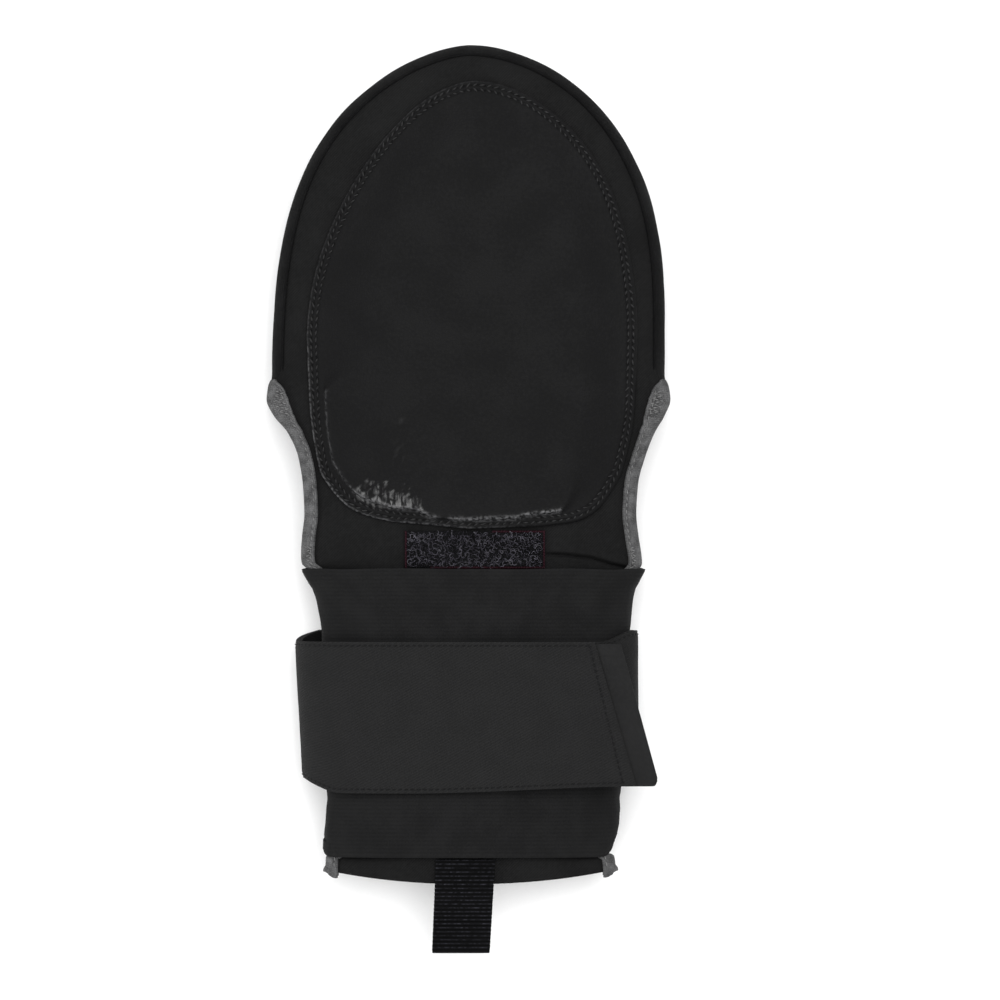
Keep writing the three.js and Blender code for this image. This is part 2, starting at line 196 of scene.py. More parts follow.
def side_of(x: float) -> Side:
    """The side that x lies on."""
    return Side.LEFT if x < 0 else Side.RIGHT


@dataclass(frozen=True)
class Pocket:
    """The hand pocket's outline, the heights of its two panels and their thickness, as the frame has them."""

    tip_y: float = 154.7
    lip_y: float = -131.2
    lip_rise: float = 3.6
    lip_half_width: float = 44.0
    head_start_y: float = 42.0
    rim_start_y: float = 40.4
    rim_inset: float = 3.6
    tape: float = 1.0
    seat: float = 0.4
    pad_edge: float = 2.5
    bulge: float = 2.5
    back_flat: float = 0.3
    inset_span: tuple[float, float] = (38.0, 45.0)
    flat_span: tuple[float, float] = (-18.0, 8.0)
    lift_end_y: float = -112.0
    heads: dict[Side, HeadCurve] = field(default_factory=lambda: {
        Side.LEFT: HeadCurve(67.2, 18.5, 3.7, 1.57),
        Side.RIGHT: HeadCurve(67.0, 59.5, 2.5, 1.88),
    })
    sides: tuple[SideRow, ...] = (
        SideRow(42, 67.2, 67.0),
        SideRow(33.5, 68.4, 68.4),
        SideRow(28, 66.0, 66.4),
        SideRow(22.5, 61.4, 63.2),
        SideRow(14.5, 57.8, 60.0),
        SideRow(4.5, 56.1, 57.4),
        SideRow(-5.5, 55.6, 56.8),
        SideRow(-13, 56.4, 57.6),
        SideRow(-19.5, 56.8, 58.6),
        SideRow(-22.4, 56.5, 58.8),
        SideRow(-24.2, 54.4, 57.8),
        SideRow(-26.5, 51.4, 54.8),
        SideRow(-33, 46.4, 50.4),
        SideRow(-45, 44.4, 48.8),
        SideRow(-100, 42.8, 45.8),
        SideRow(-117, 42.2, 42.8),
        SideRow(-122, 43.2, 43.4),
        SideRow(-123.4, 44.6, 45.4),
        SideRow(-124.7, 47.5, 48.2),
        SideRow(-125.8, 48.3, 49.3),
        SideRow(-131.2, 48.5, 49.9),
    )
    heights: tuple[HeightRow, ...] = (
        HeightRow(155, 32, 27, 4.5, 0, 8),
        HeightRow(45, 32, 27, 4.5, 0, 8),
        HeightRow(10, 31.6, 26, 6, 0, 7),
        HeightRow(-6, 31.2, 25.6, 6.6, 0.2, 6),
        HeightRow(-25, 30.6, 23.8, 11.6, 4.1, 3.5),
        HeightRow(-45, 30.9, 23.9, 12.1, 5.3, 3.5),
        HeightRow(-131.2, 30.9, 23.9, 12.1, 5.3, 3.5),
    )

    def head_rise(self, side: Side, y: float, inset: float) -> float:
        """How far the head has closed at y, from 0 at its spring line to 1 at the tip."""
        head = self.heads[side]
        return clamp((y - head.spring_y) / (self.tip_y - inset - head.spring_y)) ** head.rise

    def half_width(self, side: Side, y: float, inset: float = 0.0) -> float:
        """Half-width of the pocket at y on one side, drawn in by an inset."""
        if y < self.head_start_y:
            return column(self.sides, y, side.name.lower()) - inset
        head = self.heads[side]
        return (head.half_width - inset) * (1 - self.head_rise(side, y, inset)) ** (1 / head.round)

    def panel_inset(self, y: float) -> float:
        """How far a panel stops short of the outline: by the rim in the head, by the tape below it."""
        return lerp(self.tape + self.seat, self.rim_inset, smoothstep(y, *self.inset_span))

    def reach(self, x: float, y: float) -> float:
        """0 at the middle of a panel and 1 at its edge."""
        side = side_of(x)
        inset = self.panel_inset(y)
        head = self.heads[side]
        if y < self.head_start_y:
            return (abs(x) / self.half_width(side, y, inset)) ** head.round
        return (abs(x) / (head.half_width - inset)) ** head.round + self.head_rise(side, y, inset)

    def _height(self, x: float, y: float, middle: str, edge: str, flat: float) -> float:
        """Height of a panel whose middle and edge columns are named."""
        reach = clamp((self.reach(x, y) - flat) / (1 - flat), 0, 1.2)
        at_edge = column(self.heights, y, edge)
        return at_edge + (column(self.heights, y, middle) - at_edge) * (1 - reach**self.bulge)

    def height(self, face: Face, x: float, y: float) -> float:
        """Height of the outer face of the front or back panel at a point."""
        if face is Face.FRONT:
            return self._height(x, y, "crown", "front_edge", 0)
        return self._height(x, y, "floor", "back_edge", self.back_flat * smoothstep(y, *self.flat_span))

    def thickness(self, x: float, y: float) -> float:
        """Thickness of a panel at a point."""
        reach = clamp(self.reach(x, y))
        return self.pad_edge + (column(self.heights, y, "pad") - self.pad_edge) * (1 - reach**self.bulge)

    def lip_lift(self, x: float, y: float) -> float:
        """How much higher the cuff lip runs at its sides than at its middle."""
        near = 1 - smoothstep(y, self.lip_y, self.lift_end_y)
        return self.lip_rise * (x / self.lip_half_width) ** 2 * near

    def outline(self, run: float) -> Vector:
        """Point of the outline at a run from 0 at the left notch, over the tip, to 1 at the right notch."""
        side = Side.LEFT if run < 0.5 else Side.RIGHT
        climb = 1 - abs(2 * run - 1)
        y = self.rim_start_y + (self.tip_y - self.rim_start_y) * math.sin(climb * math.pi / 2)
        return Vector((side.value * self.half_width(side, y), y, 0))


POCKET = Pocket()
Colour = tuple[float, float, float]
Socket = bpy.types.NodeSocket
Node = bpy.types.Node
Tree = bpy.types.NodeTree
Mesh = bmesh.types.BMesh
Piece = bpy.types.Object
Path = Sequence[tuple[Vector, Vector]]


class Coordinate(Enum):
    """What a pattern follows: the frame's axes, or the piece's own UV map."""

    OBJECT = "Object"
    CLOTH = "UV"


class Graph:
    """Adds nodes to one shader tree and joins their sockets."""

    def __init__(self, tree: Tree) -> None:
        """Keeps the tree that the nodes go into."""
        self.tree = tree

    def put(self, kind: str, inputs: dict | None = None, **settings: object) -> Node:
        """Adds one node.

        Args:
            kind: the node's type.
            inputs: a value or a linked socket for each input.
            settings: the node's own options.

        Returns:
            The new node.
        """
        node = self.tree.nodes.new(kind)
        for name, value in settings.items():
            setattr(node, name, value)
        for key, value in (inputs or {}).items():
            if isinstance(value, Socket):
                self.tree.links.new(value, node.inputs[key])
            else:
                node.inputs[key].default_value = value
        return node

    def math(self, operation: str, *values: float | Socket) -> Socket:
        """Adds a Math node and returns its result."""
        return self.put("ShaderNodeMath", dict(enumerate(values)), operation=operation).outputs[0]

    def spread(self, value: Socket, low: float, high: float,
               to_low: float = 0.0, to_high: float = 1.0) -> Socket:
        """Maps a value smoothly from one span onto another, and holds it there."""
        inputs = {0: value, 1: low, 2: high, 3: to_low, 4: to_high}
        return self.put("ShaderNodeMapRange", inputs, interpolation_type="SMOOTHSTEP").outputs[0]

    def tint(self, share: float | Socket, low: Colour | Socket, high: Colour | Socket) -> Socket:
        """Mixes two colours by a share."""
        colours = [(*value, 1.0) if isinstance(value, tuple) else value for value in (low, high)]
        node = self.put("ShaderNodeMix", {0: share, 6: colours[0], 7: colours[1]}, data_type="RGBA")
        return node.outputs[2]

    def noise(self, vector: Socket, scale: float | Socket, detail: float = 2.0) -> Socket:
        """Adds a noise texture and returns its value."""
        inputs = {"Vector": vector, "Scale": scale, "Detail": detail}
        return self.put("ShaderNodeTexNoise", inputs).outputs["Fac"]

    def join(self, value: Socket, group: Node, title: str) -> None:
        """Links a value to a node's named input."""
        self.tree.links.new(value, group.inputs[title])

    def turned(self, vector: Socket, degrees: float, scale: Colour = (1, 1, 1)) -> Socket:
        """Turns and stretches a pattern's coordinates."""
        inputs = {"Vector": vector, "Rotation": (0, 0, math.radians(degrees)), "Scale": scale}
        return self.put("ShaderNodeMapping", inputs).outputs[0]


class Effects:
    """Shader groups that several finishes share. Each is built once, with lengths in metres."""

    GAP_SPAN = (0.15, 0.6)
    PEBBLE_EDGE = 0.35
    CREASE_WIDTH = 0.12
    SWELL_SCALE = 0.35
    SWELL_SHARE = 0.8
    FIBRE_SCALE = 14.0
    DYE_SPAN = (0.3, 0.7)
    RUB_SPAN = (0.35, 0.65)
    SPECK_SCALE = 420.0
    SPECK_SPAN = (0.05, 0.16)
    LINT_SCALE = 60.0
    LINT_SPAN = (0.55, 0.75)

    @staticmethod
    def _open(name: str, inputs: Sequence[str], outputs: Sequence[str]) -> tuple[Graph, Node, Node]:
        """Starts a group.

        Args:
            name: the group's name.
            inputs: names of its number inputs, after Vector.
            outputs: names of its number outputs.

        Returns:
            The group's graph, its input node and its output node.
        """
        tree = bpy.data.node_groups.new(name, "ShaderNodeTree")
        tree.interface.new_socket("Vector", in_out="INPUT", socket_type="NodeSocketVector")
        for title in inputs:
            tree.interface.new_socket(title, in_out="INPUT", socket_type="NodeSocketFloat")
        for title in outputs:
            tree.interface.new_socket(title, in_out="OUTPUT", socket_type="NodeSocketFloat")
        return Graph(tree), tree.nodes.new("NodeGroupInput"), tree.nodes.new("NodeGroupOutput")

    @staticmethod
    def weave() -> Tree:
        """Plain weave: threads of one pitch that pass over and under each other."""
        if found := bpy.data.node_groups.get("thread_weave"):
            return found
        graph, source, result = Effects._open("thread_weave", ["Pitch"], ["Height", "Gap"])
        grown = graph.put("ShaderNodeVectorMath", {0: source.outputs["Vector"]}, operation="SCALE")
        graph.join(graph.math("DIVIDE", 1.0, source.outputs["Pitch"]), grown, "Scale")
        axes = graph.put("ShaderNodeSeparateXYZ", {0: grown.outputs[0]}).outputs
        threads = []
        for across, along, lift in ((axes[0], axes[1], 0.0), (axes[1], axes[0], 1.0)):
            rounded = graph.math("ABSOLUTE", graph.math("SINE", graph.math("MULTIPLY", across, math.pi)))
            phase = graph.math("ADD", graph.math("ADD", along, graph.math("FLOOR", across)), lift)
            wave = graph.math("COSINE", graph.math("MULTIPLY", phase, math.pi))
            threads.append(graph.math("MULTIPLY", rounded, graph.math("MULTIPLY_ADD", wave, 0.5, 0.5)))
        height = graph.math("MAXIMUM", *threads)
        graph.join(height, result, "Height")
        graph.join(graph.spread(height, *Effects.GAP_SPAN, 1.0, 0.0), result, "Gap")
        return graph.tree

    @staticmethod
    def grain() -> Tree:
        """Pebbled grain with fine creases between the pebbles."""
        if found := bpy.data.node_groups.get("hide_grain"):
            return found
        graph, source, result = Effects._open("hide_grain", ["Scale"], ["Height", "Crease"])
        vector, scale = source.outputs["Vector"], source.outputs["Scale"]
        inputs = {"Vector": vector, "Scale": scale, "Randomness": 0.9}
        cells = graph.put("ShaderNodeTexVoronoi", inputs, feature="DISTANCE_TO_EDGE").outputs["Distance"]
        swell = graph.noise(vector, graph.math("MULTIPLY", scale, Effects.SWELL_SCALE), 3.0)
        pebble = graph.spread(cells, 0.0, Effects.PEBBLE_EDGE)
        graph.join(graph.math("MULTIPLY_ADD", swell, Effects.SWELL_SHARE, pebble), result, "Height")
        graph.join(graph.spread(cells, 0.0, Effects.CREASE_WIDTH, 1.0, 0.0), result, "Crease")
        return graph.tree

    @staticmethod
    def mottle() -> Tree:
        """Uneven dye: broad patches and single fibres."""
        if found := bpy.data.node_groups.get("fibre_mottle"):
            return found
        graph, source, result = Effects._open("fibre_mottle", ["Scale", "Fibres"], ["Shade"])
        vector, scale = source.outputs["Vector"], source.outputs["Scale"]
        broad = graph.noise(vector, scale, 3.0)
        fine = graph.noise(vector, graph.math("MULTIPLY", scale, Effects.FIBRE_SCALE), 1.0)
        node = graph.put("ShaderNodeMix", {0: source.outputs["Fibres"], 2: broad, 3: fine}, data_type="FLOAT")
        graph.join(graph.spread(node.outputs[0], *Effects.DYE_SPAN), result, "Shade")
        return graph.tree

    @staticmethod
    def wear_and_painted_light() -> Tree:
        """Rubbed wear and painted highlight lines, and needle pits and painted shade: the mesh's wear mark,
        broken up, and its pit mark.
        """
        if found := bpy.data.node_groups.get("wear_and_painted_light"):
            return found
        graph, source, result = Effects._open("wear_and_painted_light", ["Scale", "Strength"], ["Mask", "Pit"])
        mark = graph.put("ShaderNodeAttribute", attribute_name="wear_and_glint").outputs["Fac"]
        broken = graph.noise(source.outputs["Vector"], source.outputs["Scale"], 4.0)
        rubbed = graph.spread(broken, *Effects.RUB_SPAN)
        mask = graph.math("MULTIPLY", graph.math("MULTIPLY", mark, rubbed), source.outputs["Strength"])
        graph.join(mask, result, "Mask")
        # The pit mark holds needle pits and flecks, and painted shade.
        pits = graph.put("ShaderNodeAttribute", attribute_name="pit").outputs["Fac"]
        graph.join(graph.spread(pits, 0.0, 1.0), result, "Pit")
        return graph.tree

    @staticmethod
    def dust() -> Tree:
        """Scattered specks of pale lint."""
        if found := bpy.data.node_groups.get("lint_dust"):
            return found
        graph, source, result = Effects._open("lint_dust", ["Amount"], ["Mask"])
        inputs = {"Vector": source.outputs["Vector"], "Scale": Effects.SPECK_SCALE, "Randomness": 1.0}
        specks = graph.put("ShaderNodeTexVoronoi", inputs).outputs["Distance"]
        where = graph.spread(graph.noise(source.outputs["Vector"], Effects.LINT_SCALE), *Effects.LINT_SPAN)
        mask = graph.math("MULTIPLY", graph.spread(specks, *Effects.SPECK_SPAN, 1.0, 0.0), where)
        graph.join(graph.math("MULTIPLY", mask, source.outputs["Amount"]), result, "Mask")
        return graph.tree


@dataclass(frozen=True)
class Finish:
    """A finish with a woven or knitted face."""

    name: str
    colour: Colour
    follows: Coordinate = Coordinate.OBJECT
    pitch: float = 0.6
    turn: float = 0.0
    stretch: Colour = (1, 1, 1)
    relief: float = 0.12
    gap_dark: float = 0.5
    mottle_scale: float = 60.0
    mottle: float = 0.25
    fibres: float = 0.4
    wear_and_glint: float = 0.3
    wear_and_glint_light: float = 2.6
    dust: float = 0.05
    roughness: float = 0.85
    gloss_swing: float = 0.06
    specular: float = 0.12
    bump_strength: float = 0.9
    dye_relief: float = 0.5
    wear_scale: float = 900.0
    gap_shade: float = 0.25
    pit_shade: float = 0.1
    lint: Colour = (0.16, 0.155, 0.15)

    def _shade(self, amount: float) -> Colour:
        """The finish's own colour, lighter or darker."""
        return tuple(min(channel * amount, 1.0) for channel in self.colour)

    def _face(self, graph: Graph, place: Socket) -> tuple[Socket, Socket]:
        """The face's relief and its dark gaps."""
        turned = graph.turned(place, self.turn, self.stretch)
        weave = graph.put("ShaderNodeGroup", node_tree=Effects.weave())
        graph.join(turned, weave, "Vector")
        weave.inputs["Pitch"].default_value = self.pitch * MM
        return weave.outputs["Height"], weave.outputs["Gap"]

    def _gloss(self, graph: Graph, place: Socket, shade: Socket) -> Socket:
        """Roughness over the surface."""
        rough, swing = self.roughness, self.gloss_swing
        return graph.spread(shade, 0.0, 1.0, rough + swing, rough - swing)

    def _coat(self, graph: Graph, shader: Node, place: Socket, wear_and_glints: Socket) -> None:
        """Leaves a cloth face without a coat."""

    def material(self) -> bpy.types.Material:
        """The finish's material, made once.

        Returns:
            A node material whose pattern has the size of the real one.
        """
        if found := bpy.data.materials.get(self.name):
            return found
        material = bpy.data.materials.new(self.name)
        material.use_nodes = True
        graph = Graph(material.node_tree)
        shader = graph.tree.nodes["Principled BSDF"]
        place = graph.put("ShaderNodeTexCoord").outputs[self.follows.value]
        height, gap = self._face(graph, place)
        mottle = graph.put("ShaderNodeGroup", node_tree=Effects.mottle())
        wear_and_glint = graph.put("ShaderNodeGroup", node_tree=Effects.wear_and_painted_light())
        dust = graph.put("ShaderNodeGroup", node_tree=Effects.dust())
        for group, values in (
            (mottle, {"Scale": self.mottle_scale, "Fibres": self.fibres}),
            (wear_and_glint, {"Scale": self.wear_scale, "Strength": self.wear_and_glint}),
            (dust, {"Amount": self.dust}),
        ):
            graph.join(place, group, "Vector")
            for title, value in values.items():
                group.inputs[title].default_value = value
        shade = mottle.outputs["Shade"]
        colour = graph.tint(shade, self._shade(1 - self.mottle), self._shade(1 + self.mottle))
        colour = graph.tint(graph.math("MULTIPLY", gap, self.gap_dark), colour, self._shade(self.gap_shade))
        # The wear mark lightens the colour: rubbed wear on the cloth pieces, painted highlight lines on the
        # patch.
        colour = graph.tint(wear_and_glint.outputs["Mask"], colour, self._shade(self.wear_and_glint_light))
        # The pit mark darkens it: needle pits and flecks, and painted shade at the patch's edge, under the
        # strap's end, along the tab and in the webbing's valleys.
        colour = graph.tint(wear_and_glint.outputs["Pit"], colour, self._shade(self.pit_shade))
        colour = graph.tint(dust.outputs["Mask"], colour, self.lint)
        level = graph.math("MULTIPLY_ADD", shade, self.dye_relief, height)
        relief = {"Height": level, "Distance": self.relief * MM, "Strength": self.bump_strength}
        bump_node = graph.put("ShaderNodeBump", relief)
        graph.join(colour, shader, "Base Color")
        graph.join(self._gloss(graph, place, shade), shader, "Roughness")
        graph.join(bump_node.outputs[0], shader, "Normal")
        self._coat(graph, shader, place, wear_and_glint.outputs["Mask"])
        shader.inputs["Specular IOR Level"].default_value = self.specular
        return material


@dataclass(frozen=True)
class Hide(Finish):
    """A smooth coated face with pebbled grain, and glossy streaks where it has rubbed."""

    grain_scale: float = 900.0
    rubbed_roughness: float = 0.3
    streak_relief: float = 5.0

    @staticmethod
    def _streaks(graph: Graph, place: Socket, squeeze: float, scale: float, detail: float) -> Socket:
        """Long streaks that run up the patch."""
        return graph.noise(graph.turned(place, 0.0, (1, squeeze, 1)), scale, detail)

    @staticmethod
    def _rubbed(graph: Graph) -> Socket:
        """The mesh's mark of the rubbed place."""
        return graph.put("ShaderNodeAttribute", attribute_name="rubbed").outputs["Fac"]

    def _face(self, graph: Graph, place: Socket) -> tuple[Socket, Socket]:
        """The grain, and the streaks of the rubbed place."""
        grain = graph.put("ShaderNodeGroup", node_tree=Effects.grain())
        graph.join(place, grain, "Vector")
        grain.inputs["Scale"].default_value = self.grain_scale
        scuffed = graph.math("MULTIPLY", self._streaks(graph, place, 0.22, 1300.0, 3.0), self._rubbed(graph))
        height = graph.math("MULTIPLY_ADD", scuffed, self.streak_relief, grain.outputs["Height"])
        return height, grain.outputs["Crease"]

    def _gloss(self, graph: Graph, place: Socket, shade: Socket) -> Socket:
        """Rough all over, apart from the rubbed place."""
        streaks = graph.spread(self._streaks(graph, place, 0.25, 700.0, 3.0), 0.4, 0.62)
        rough = super()._gloss(graph, place, shade)
        share = graph.math("MULTIPLY", self._rubbed(graph), streaks)
        return graph.put("ShaderNodeMix", {0: share, 2: rough, 3: self.rubbed_roughness}).outputs[0]

    def _coat(self, graph: Graph, shader: Node, place: Socket, wear_and_glints: Socket) -> None:
        """Adds a glossy coat where the skin has rubbed, and along the painted highlight lines."""
        streaks = graph.spread(self._streaks(graph, place, 0.2, 900.0, 2.0), 0.42, 0.6)
        share = graph.math("MAXIMUM", graph.math("MULTIPLY", self._rubbed(graph), streaks), wear_and_glints)
        graph.join(share, shader, "Coat Weight")
        shader.inputs["Coat Roughness"].default_value = self.rubbed_roughness


NYLON = Finish("black_shell", (0.0066, 0.0066, 0.0067), pitch=0.5, relief=0.1, mottle=0.15, specular=0.1)
# Rim cloth darker than the shell cloth: painted shade for the rolled rim.
RIM_CLOTH = Finish("black_rim_cloth", (0.0028, 0.0028, 0.003), Coordinate.CLOTH, turn=45, relief=0.1,
                   specular=0.06)
# Patch hide: its wear mark is painted highlight lines along the patch's and plate's edges, lightened
# strongly.
LEATHER = Hide("black_patch_hide", (0.0043, 0.0043, 0.0045), mottle=0.02, roughness=0.62, relief=0.04,
               specular=0.07, gap_dark=0.2, wear_and_glint=1.0, wear_and_glint_light=16.0, dust=0.0)
HEATHER = Finish("grey_heather_tape", (0.07, 0.07, 0.071), Coordinate.CLOTH, pitch=0.55, turn=45, relief=0.07,
                 gap_dark=0.2, mottle=0.9, mottle_scale=230.0, fibres=0.6, wear_and_glint=0.4, wear_and_glint_light=1.6)
ELASTIC = Finish("black_elastic", (0.0059, 0.0059, 0.0061), Coordinate.CLOTH, pitch=0.95, turn=45,
                 relief=0.05, gap_dark=0.25, mottle=0.1, mottle_scale=90.0)
STRAP_CLOTH = Finish("black_strap_cloth", (0.0107, 0.0107, 0.0109), Coordinate.CLOTH, pitch=0.55, turn=20,
                     relief=0.1, mottle=0.09, mottle_scale=110.0, fibres=0.7, gap_dark=0.35)
RIBBON_CLOTH = Finish("black_ribbon", (0.0055, 0.0055, 0.0058), Coordinate.CLOTH, pitch=0.32,
                      stretch=(1, 1.6, 1), relief=0.05, mottle=0.1, roughness=0.55, specular=0.15)
WEBBING_CLOTH = Finish("black_webbing", (0.0015, 0.0015, 0.0019), Coordinate.CLOTH, pitch=0.45,
                       stretch=(1.6, 1, 1), relief=0.08, mottle=0.3, wear_and_glint=1.0, wear_and_glint_light=20.0,
                       roughness=0.7, specular=0.06)
PILE_BACKING = Finish("pile_backing", (0.0018, 0.0018, 0.0024), pitch=0.7, relief=0.15)
PILE_LOOP = Finish("pile_loop", (0.092, 0.087, 0.11), pitch=0.3, relief=0.03, mottle_scale=700.0, mottle=0.75,
                   roughness=0.35, specular=0.8)
FLOOR_PAINT = Finish("pale_floor", (0.93, 0.93, 0.93), pitch=4.0, relief=0.0, gap_dark=0.0, mottle=0.01,
                     dust=0.0)


def thread_finish(name: str, colour: Colour, roughness: float = 0.6, specular: float = 0.12) -> Finish:
    """A twisted sewing thread in one colour."""
    return Finish(name, colour, pitch=0.35, turn=35, relief=0.06, roughness=roughness, specular=specular)


BLACK_THREAD = thread_finish("black_thread", (0.0092, 0.0092, 0.0096), 0.5, 0.27)
STRAP_THREAD = thread_finish("strap_thread", (0.0062, 0.0062, 0.0066), specular=0.1)
RED_THREAD = thread_finish("dark_red_thread", (0.014, 0.0009, 0.004))
GREY_THREAD = thread_finish("grey_thread", (0.15, 0.15, 0.15))

WELD = 1e-7
SHARP_ANGLE = math.radians(55)


def sheet_mesh(across: int, along: int, surface: Surface, span: tuple[float, float]) -> Mesh:
    """Maps a grid of quads through a surface.

    Args:
        across: faces along u.
        along: faces along v.
        surface: point in millimetres for u and v from 0 to 1.
        span: the cloth's size in millimetres, for its UV map.

    Returns:
        The open sheet, in metres.
    """
    shape = bmesh.new()
    layer = shape.loops.layers.uv.new("cloth")
    bmesh.ops.create_grid(shape, x_segments=across, y_segments=along, size=0.5, calc_uvs=True)
    for face in shape.faces:
        for loop in face.loops:
            place = loop.vert.co
            loop[layer].uv = ((place.x + 0.5) * span[0] * MM, (place.y + 0.5) * span[1] * MM)
    for vertex in shape.verts:
        vertex.co = surface(vertex.co.x + 0.5, vertex.co.y + 0.5) * MM
    return shape


def mark_points(shape: Mesh, name: str, amount: Callable[[Vector], float]) -> None:
    """Stores a value on each point, from its place in millimetres."""
    layer = shape.verts.layers.float.new(name)
    for vertex in shape.verts:
        vertex[layer] = amount(vertex.co / MM)


def add_piece(name: str, shape: Mesh, slot: Slot, finish: Finish, *nodes: str) -> Piece:
    """Makes a mesh into a dressed piece of the mitt.

    Args:
        name: the piece's name.
        shape: its mesh in metres, which is used up.
        slot: the record's slot for the piece; not used.
        finish: its finish.
        nodes: the CAD nodes that it stands for.

    Returns:
        The piece, with its place in its mesh.
    """
    bmesh.ops.remove_doubles(shape, verts=shape.verts, dist=WELD)
    mesh = bpy.data.meshes.new(name)
    shape.to_mesh(mesh)
    shape.free()
    mesh.shade_smooth()
    mesh.materials.append(finish.material())
    piece = bpy.data.objects.new(name, mesh)
    bpy.context.scene.collection.objects.link(piece)
    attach(piece, "root")
    if nodes:
        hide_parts(*nodes)
    LOG.info("%s: %d faces", name, len(mesh.polygons))
    return piece


def add_wall(piece: Piece, wall: float, share: Callable[[Vector], float] | None = None) -> None:
    """Gives a sheet its thickness inwards.

    Args:
        piece: the sheet.
        wall: its greatest thickness in millimetres.
        share: share of that thickness at a point, where it changes.
    """
    solid = piece.modifiers.new("wall", "SOLIDIFY")
    solid.thickness = wall * MM
    solid.offset = -1
    if share:
        group = piece.vertex_groups.new(name="thickness")
        for vertex in piece.data.vertices:
            group.add([vertex.index], share(vertex.co / MM), "REPLACE")
        solid.vertex_group = group.name


def round_edges(piece: Piece, width: float, segments: int = 2) -> None:
    """Rounds the sharp edges of a finished wall."""
    bevel = piece.modifiers.new("rounding", "BEVEL")
    bevel.width = width * MM
    bevel.segments = segments
    bevel.limit_method = "ANGLE"
    bevel.angle_limit = SHARP_ANGLE
    bevel.use_clamp_overlap = True


def join_copies(shape: Mesh, places: Sequence[Matrix]) -> Mesh:
    """Repeats a small shape at many places in one mesh.

    Args:
        shape: the small shape, which is used up.
        places: where each copy goes, in metres.

    Returns:
        The joined mesh.
    """
    single = bpy.data.meshes.new("single")
    shape.to_mesh(single)
    shape.free()
    joined = bmesh.new()
    for place in places:
        first = len(joined.verts)
        joined.from_mesh(single)
        joined.verts.ensure_lookup_table()
        bmesh.ops.transform(joined, matrix=place, verts=joined.verts[first:])
    bpy.data.meshes.remove(single)
    return joined


def ripple(x: float, y: float, size: float, seed: float = 0.0) -> float:
    """Smooth noise between -1 and 1 about, whose bumps are size millimetres wide."""
    return noise.noise(Vector((x / size, y / size, seed)))


@dataclass(frozen=True)
class Patch:
    """The oval patch's outline and the raised plate under its skin."""

    centre_x: float = 1.0
    centre_y: float = 54.0
    tip_y: float = 141.8
    tip_lean: float = 2.4
    farthest: float = 160.0
    halvings: int = 30
    seat: float = 0.4
    margin: float = 1.5
    plate: float = 1.5
    heads: dict[Side, HeadCurve] = field(default_factory=lambda: {
        Side.LEFT: HeadCurve(55, 54, 1.8, 1.75),
        Side.RIGHT: HeadCurve(57.5, 54, 2.15, 1.8),
    })
    rows: tuple[SideRow, ...] = (
        SideRow(54, 55, 57.5),
        SideRow(30, 53.9, 56.6),
        SideRow(9, 50.5, 52.2),
        SideRow(3.5, 47.1, 49.4),
        SideRow(-0.7, 43.6, 46.6),
        SideRow(-4.4, 38.6, 43.4),
        SideRow(-7.8, 27.4, 37.2),
        SideRow(-9.5, 9.7, 26),
        SideRow(-10.5, 0, 0),
    )

    def half_width(self, side: Side, y: float) -> float:
        """Half-width of the patch at y on one side."""
        head = self.heads[side]
        if y < head.spring_y:
            return column(self.rows, y, side.name.lower())
        rise = clamp((y - head.spring_y) / (self.tip_y - head.spring_y)) ** head.rise
        return head.half_width * (1 - rise) ** (1 / head.round)

    def edge(self, angle: float) -> float:
        """How far the edge lies from the centre, at an angle from +Y towards +X."""
        near, far = 0.0, self.farthest
        for _ in range(self.halvings):
            middle = (near + far) / 2
            x = self.centre_x + middle * math.sin(angle)
            y = self.centre_y + middle * math.cos(angle)
            x -= self.tip_lean * smoothstep(y, 70, 125)
            inside = self.rows[-1].y < y < self.tip_y and abs(x) < self.half_width(side_of(x), y)
            near, far = (middle, far) if inside else (near, middle)
        return near

    def place(self, angle: float, reach: float) -> Vector:
        """Point at a reach from the centre, on the panel's face."""
        x = self.centre_x + reach * math.sin(angle)
        y = self.centre_y + reach * math.cos(angle)
        return Vector((x, y, POCKET.height(Face.FRONT, x, y)))


PATCH = Patch()


